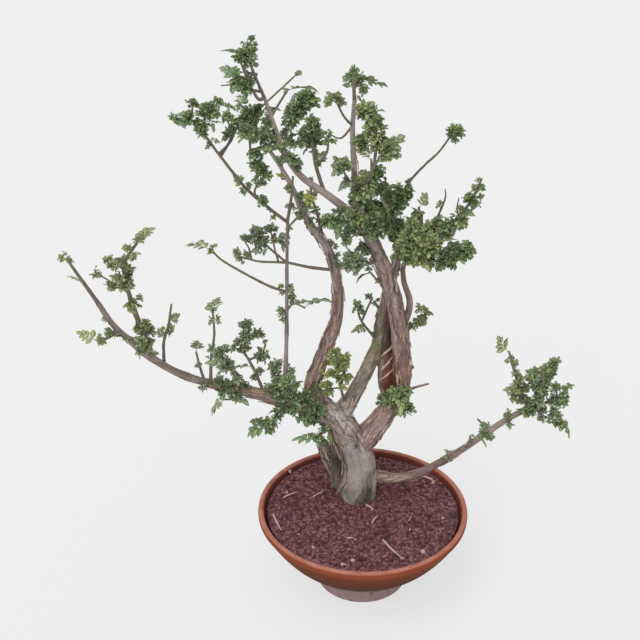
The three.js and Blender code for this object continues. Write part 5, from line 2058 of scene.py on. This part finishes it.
def balls(centres: Array, sizes: Array, draw: Draws) -> Surface:
    """Small lumpy balls: circles of six points at three heights between two poles.

    Each ball is squashed, turned about a random axis and dented by random shares of its radius.

    Args:
        centres: Their middles.
        sizes: Their radii.
        draw: Random draws.

    Returns:
        The surface, BALL_POINTS points to a ball.
    """
    count = len(sizes)
    tilt = np.radians([[-42], [0], [42]])
    ring = circles(np.cos(tilt), np.sin(tilt), turns(BALL_COLUMNS)).reshape(-1, 3)
    ball = np.vstack([(0, 0, -1), ring, (0, 0, 1)])
    squash = draw.uniform(0.65, 1.1, (count, 1, 3))
    dents = draw.uniform(0.82, 1.12, (count, len(ball), 1))
    spin = np.linalg.qr(draw.normal(size=(count, 3, 3)))[0]
    spin[:, :, 0] *= np.linalg.det(spin)[:, None]
    turned = np.einsum("nij,nkj->nki", spin, ball[None] * squash * dents)
    points = centres[:, None] + turned * sizes[:, None, None]
    corner = np.arange(BALL_COLUMNS) + 1
    last = corner + (BALL_RINGS - 1) * BALL_COLUMNS
    skin = [fan(corner[::-1], 0), ring_faces(BALL_RINGS, BALL_COLUMNS) + 1, fan(last, BALL_POINTS - 1)]
    return copies(points, np.vstack(skin))


# What lies on the soil, as places seen from above: a pebble has a size and a straw a thickness
PEBBLES = (
    (-85, -57, 2.6), (-66, -83, 3.4), (-16, -108, 3.4), (-29, -116, 3), (-26, -117, 2.4), (74, -91, 3.6),
    (46, -105, 3.2), (106, -22, 2.4), (-103, 36, 2.4), (-100, 84, 3), (13, -2, 2.6), (7, 6, 2.4),
    (-12, -66, 2), (100, 57, 2.6), (-40, -24, 2), (60, -46, 2),
)
PEBBLE_TONE = 1.25
STRAWS = (
    ((-108, 22), (-88, 36), 1.1),
    ((-67, 25), (-52, 41), 1.1),
    ((-120, -15), (-108, -49), 1.5),
    ((24, -69), (47, -105), 1.6),
    ((88, 71), (102, 57), 1.5),
    ((11, -34), (20, -17), 1.1),
    ((-23, -65), (-14, -65), 1.3),
    ((5, 9), (14, -3), 1.3),
    ((64, -20), (56, -34), 0.7),
)


@dataclass(frozen=True)
class Flake:
    """A thin curled sheet of bark that is coming off a limb.

    Attributes:
        limb: The limb that it is on.
        start: Where its attached end is, counted in points along the limb.
        end: Where its free end is.
        turn: Its direction from the limb's middle, in degrees from the viewer, right positive.
        width: How wide it is.
        lift: How far its free end stands off.
        tone: Its colour, from brown at 0 to straw at 1.
        sweep: How far it turns about the limb on its way to its free end, in degrees.
    """

    limb: str
    start: float
    end: float
    turn: float
    width: float
    lift: float
    tone: float
    sweep: float = 0.0


@dataclass
class Straws:
    """Dry straws on the soil."""

    bends: int = 7
    sides: int = 8
    step: float = 1.5

    def straw(self, start: FlatPoint, end: FlatPoint, girth: float, draw: Draws) -> Surface:
        """A bent dry stalk that lies on the granules, touching them with its own thickness.

        Args:
            start: One end, seen from above.
            end: The other end.
            girth: Its radius.
            draw: Random draws.

        Returns:
            The surface, with its tone.
        """
        share = np.linspace(0, 1, self.bends)[:, None]
        flat = (1 - share) * np.array(start, float) + share * np.array(end, float)
        side = np.array([end[1] - start[1], start[0] - end[0]], float)
        flat = flat + side * (0.1 * np.sin(share * math.pi) * draw.uniform(-1, 1))
        rise = soil_height(flat[:, 0], flat[:, 1]) + 0.9 + girth + 0.5 * draw.uniform(0, 1, self.bends)
        line, radii = Line(np.column_stack([flat, rise])), (girth * 0.8, girth, girth * 0.4)
        return tube(line, radii, self.sides, self.step).valued(tone=draw.uniform(0.8, 1.15))

    def build(self, dry: Material) -> Piece:
        """Makes the piece."""
        draw = np.random.default_rng(STRAW_SEED)
        straws = [self.straw(*straw, draw) for straw in STRAWS]
        return adopt(merged(straws).build("straws", dry), "bark")


@dataclass
class Flakes:
    """The sheets of bark that curl off the limbs."""

    lines: dict[str, Line]
    thick: float = 0.5
    large: tuple[int, int] = (14, 5)
    small: tuple[int, int] = (6, 3)

    def sheet(self, flake: Flake, draw: Draws, rows: int, columns: int) -> Surface:
        """One sheet: a ribbon on the limb's skin whose free end lifts and whose edges curl out.

        The ribbon's line runs on the limb's radius, and the lift grows with the square of the way
        to its free end. Across it, a point stands out by the square of its way from the middle. It
        narrows at both ends by the root of a sine.

        Args:
            flake: Its place and sizes.
            draw: Random draws.
            rows: How many rows of points it has along it.
            columns: How many points a row has on each face.

        Returns:
            The surface, with its tone.
        """
        line = self.lines[flake.limb]
        share = np.linspace(0, 1, rows)
        t = (flake.start + (flake.end - flake.start) * share) / (len(line.points) - 1)
        centre = line.at(t)
        tangent = unit(line.at(t + line.AHEAD) - line.at(t - line.AHEAD))
        girth = radius_along(LIMBS[flake.limb].radii, t)
        front = unit(np.cross(np.cross(tangent, [0.0, -1.0, 0.0]), tangent))
        right = np.cross(front, tangent)
        right = right * np.where(right[:, :1] < 0, -1, 1)
        bends = 6 * np.sin(share * 4 + draw.uniform(0, 6)) + 3 * np.sin(share * 11 + draw.uniform(0, 6))
        wander = np.radians(flake.turn + flake.sweep * share + bends)
        ragged = 1 + 0.3 * np.sin(share * 13 + draw.uniform(0, 6)) * np.sin(share * 7 + draw.uniform(0, 6))
        width = flake.width * np.sqrt(np.sin(np.clip(share * 0.9 + 0.06, 0, 1) * math.pi)) * 0.5 * ragged
        across = np.linspace(-1, 1, columns)
        out = directions(front, right, wander[:, None] + across * (width / girth)[:, None])
        lift = flake.lift * share**2 + 0.25
        curl = 0.3 * flake.width * across**2 * (0.3 + share[:, None])
        reach = girth[:, None] + lift[:, None] + curl
        outer = centre[:, None] + out * (reach + self.thick)[..., None]
        inner = (centre[:, None] + out * reach[..., None])[:, ::-1]
        rings = np.concatenate([outer, inner], 1)
        return outward(closed(rings, rings[0].mean(0), rings[-1].mean(0))).valued(tone=flake.tone)

    def strips(self, draw: Draws) -> Iterator[Flake]:
        """The narrow strips of the older wood, strewn over each limb's shaggy stretch.

        Args:
            draw: Random draws.

        Returns:
            One flake after another.
        """
        for limb, (first, last, count) in SHAGGY.items():
            line = self.lines[limb]
            spans = len(line.points) - 1
            for _ in range(count):
                at, turn = draw.uniform(first, last), draw.uniform(-110, 110)
                reach = draw.uniform(9, 26) * spans / line.length * draw.choice([-1, 1])
                end = float(np.clip(at + reach, first, last))
                width, lift, tone = draw.uniform(1.1, 2.6), draw.uniform(0.1, 1.2), draw.uniform(0, 1)
                sweep = draw.uniform(-25, 25)
                away = np.linalg.norm(line.at(at / spans) + [0, -20, 0] - SMOOTH_FRONT)
                if away > SMOOTH_REACH or abs(turn) > 60:
                    yield Flake(limb, at, end, turn, width, lift, tone, sweep)

    def build(self, dry: Material) -> Piece:
        """Makes the piece.

        Args:
            dry: Their finish.

        Returns:
            The piece.
        """
        draw = np.random.default_rng(FLAKE_SEED)
        placed = (Flake(limb, *row) for limb, rows in FLAKES.items() for row in rows)
        sheets = [self.sheet(flake, draw, *self.large) for flake in placed]
        sheets += [self.sheet(flake, draw, *self.small) for flake in self.strips(draw)]
        return adopt(merged(sheets).build("bark_flakes", dry), "bark")


def outward(surface: Surface) -> Surface:
    """The surface with its faces turned to point out, told by the sign of its volume.

    Args:
        surface: A closed surface.

    Returns:
        That surface, turned if it has to be.
    """
    a, b, c, d = np.moveaxis(surface.points[surface.faces], 1, 0)
    four = surface.faces[:, 3:] >= 0
    if np.sum(np.cross(a, b) * c) + np.sum(four * np.cross(a, c) * d) > 0:
        return surface
    return replace(surface, faces=np.where(four, surface.faces[:, ::-1], surface.faces[:, [2, 1, 0, 3]]))


# Where narrow strips stand off a limb, counted in points along it, and how many
SHAGGY = {
    "trunk": (2.4, 6, 60), "leader": (0.7, 8.5, 90), "bough_mid": (0.5, 8, 60), "bough_back": (0.5, 7.5, 50),
    "bough_left": (0.3, 5, 60), "bough_right": (0.3, 5, 20), "old_stub": (1, 3, 16), "spire": (0.3, 2.5, 8),
}

# The larger flakes of each limb, as the numbers of a Flake
FLAKES: dict[str, list[tuple[float, ...]]] = {
    "trunk": [(5.2, 3.7, -62, 5.5, 3, 0.65), (4.9, 3.2, -76, 3.6, 2, 0.3), (4.5, 2.9, -50, 2.6, 1.4, 0.5),
        (3.9, 2.4, -66, 3.2, 2.5, 0.6), (3, 1.6, -58, 4, 1.6, 0.55), (4.4, 2.8, 60, 3.2, 1.6, 0.7),
        (2.7, 1.3, 56, 3, 1.4, 0.6), (5.6, 4.7, -22, 3.4, 2.2, 0.5), (5.3, 4.6, 18, 2.6, 1.8, 0.6)],
    "leader": [(1.4, 0.7, -40, 3.4, 2, 0.7), (1.9, 1, -8, 2.4, 1.2, 0.8), (2.6, 1.5, -55, 3.2, 1.6, 0.5),
        (3.6, 3, -30, 3, 1.8, 0.8), (3.9, 3.3, -12, 2.6, 1.6, 0.75), (4.3, 3.7, -34, 2.8, 1.5, 0.8),
        (6.2, 5.2, 40, 2.6, 1.2, 0.4)],
    "inner_bark": [(1.2, 1.9, -50, 3.4, 1.5, 0.95, 90), (1.7, 2.4, -50, 3.2, 1.6, 0.9, 90),
        (2.3, 2.9, -50, 3, 1.6, 1, 80)],
    "bough_mid": [(1.9, 1.1, -30, 3, 1.8, 0.5), (3.2, 2.3, 30, 2.6, 1.3, 0.4)],
    "bough_left": [(1.6, 0.8, 10, 3, 1.6, 0.6), (3.9, 3.2, 24, 2.2, 1.2, 0.5)],
    "bough_back": [(1.4, 0.7, 20, 3, 1.6, 0.7), (4.6, 3.4, 62, 2.6, 1.2, 0.8)],
    "bough_right": [(2.6, 1.8, -20, 1.8, 0.8, 0.7)],
    "old_stub": [(2.6, 1.4, -30, 3.6, 2.2, 0.5), (2.9, 1.8, 10, 3, 2.4, 0.7)],
}


@dataclass(frozen=True)
class FloorFinish:
    """A plain pale floor with a trace of mottling, lit a little from inside so that shadows stay faint."""

    pale: Colour = srgb(124, 124, 124)
    paler: Colour = srgb(126, 126, 126)
    white: Colour = (1.0, 1.0, 1.0)
    glow: float = 0.655

    def make(self) -> Material:
        """Builds the material."""
        paint = Paint("floor")
        skin = paint.mix(self.pale, self.paler, paint.speckle(400, 2))
        return paint.finished(skin, 0.9, 0.1, Emission_Color=self.white, Emission_Strength=self.glow)


@dataclass
class Studio:
    """The floor, the light and the camera at the height and the tilt of the photograph's."""

    size: float = 30.0
    lens: float = 60.0
    eye: Point = (-0.0574, -1.164, 0.989)
    look_down: float = 27.06
    sun_power: float = 1.35
    sun_spread: float = 40.0
    sun_tilt: tuple[float, float] = (38.0, -32.0)
    sky_power: float = 0.68

    def floor(self) -> None:
        """A level square under everything."""
        half = self.size / 2 / MM
        points = np.array([[-half, -half, 0], [half, -half, 0], [half, half, 0], [-half, half, 0]])
        Surface(points, np.array([[0, 1, 2, 3]])).build("floor", FloorFinish().make())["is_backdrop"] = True

    def light(self) -> None:
        """One broad soft sun from the upper left in front, and an even pale sky."""
        lamp = bpy.data.lights.new("key", "SUN")
        lamp.energy = self.sun_power
        lamp.angle = math.radians(self.sun_spread)
        linked("key", lamp).rotation_euler = np.radians((self.sun_tilt[0], 0, self.sun_tilt[1]))
        world = bpy.data.worlds.new("sky")
        world.use_nodes = True
        sky = world.node_tree.nodes["Background"].inputs
        sky["Color"].default_value = (1.0, 1.0, 1.0, 1.0)
        sky["Strength"].default_value = self.sky_power
        bpy.context.scene.world = world
        bpy.context.scene.view_settings.view_transform = "Standard"

    def camera(self) -> None:
        """The camera, which looks level along Y and then down."""
        data = bpy.data.cameras.new("eye")
        data.lens = self.lens
        data.clip_end = self.size
        camera = linked("eye", data)
        camera.location = self.eye
        camera.rotation_euler = (math.radians(90 - self.look_down), 0, 0)
        bpy.context.scene.camera = camera

    def build(self) -> None:
        """Sets up the studio."""
        self.camera()
        self.floor()
        self.light()


def corners() -> list[list[float]]:
    """The lowest and the highest corner of what is shown, in metres."""
    return [list(corner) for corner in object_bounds()]


def solid_points(node: Piece) -> Array:
    """The points of a solid, in millimetres."""
    places = np.empty(len(node.data.vertices) * 3, np.float32)
    node.data.vertices.foreach_get("co", places)
    return places.reshape(-1, 3) / MM


def dress(node: Piece, finish: Material) -> None:
    """Gives a solid that stays as it is its finish."""
    node.data.materials.clear()
    node.data.materials.append(finish)


def main() -> None:
    """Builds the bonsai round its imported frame."""
    logging.basicConfig(level=logging.INFO, format="%(name)s: %(message)s")
    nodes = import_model()["nodes"]
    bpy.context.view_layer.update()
    Studio().build()
    lines = limb_lines()
    clay, dry, leaf, bark = ClayFinish().make(), DryFinish().make(), LeafFinish().make(), TwigFinish().make()
    Wood(lines).build()
    Flakes(lines).build(dry)
    for number, (name, (limb, tint, twigs)) in enumerate(SPRAYS.items()):
        solid = solid_points(nodes[f"spray_{name}"])
        Spray(name, number, lines[limb], tint, twigs, solid).build(bark, leaf)
    Spurs(lines).build(bark, leaf)
    Bowl().build(clay)
    for number in range(HOLES):
        dress(nodes[f"crock_{number + 1}"], clay)
    Soil().build(SoilFinish().make())
    Straws().build(dry)
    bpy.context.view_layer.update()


if __name__ == "__main__":
    main()
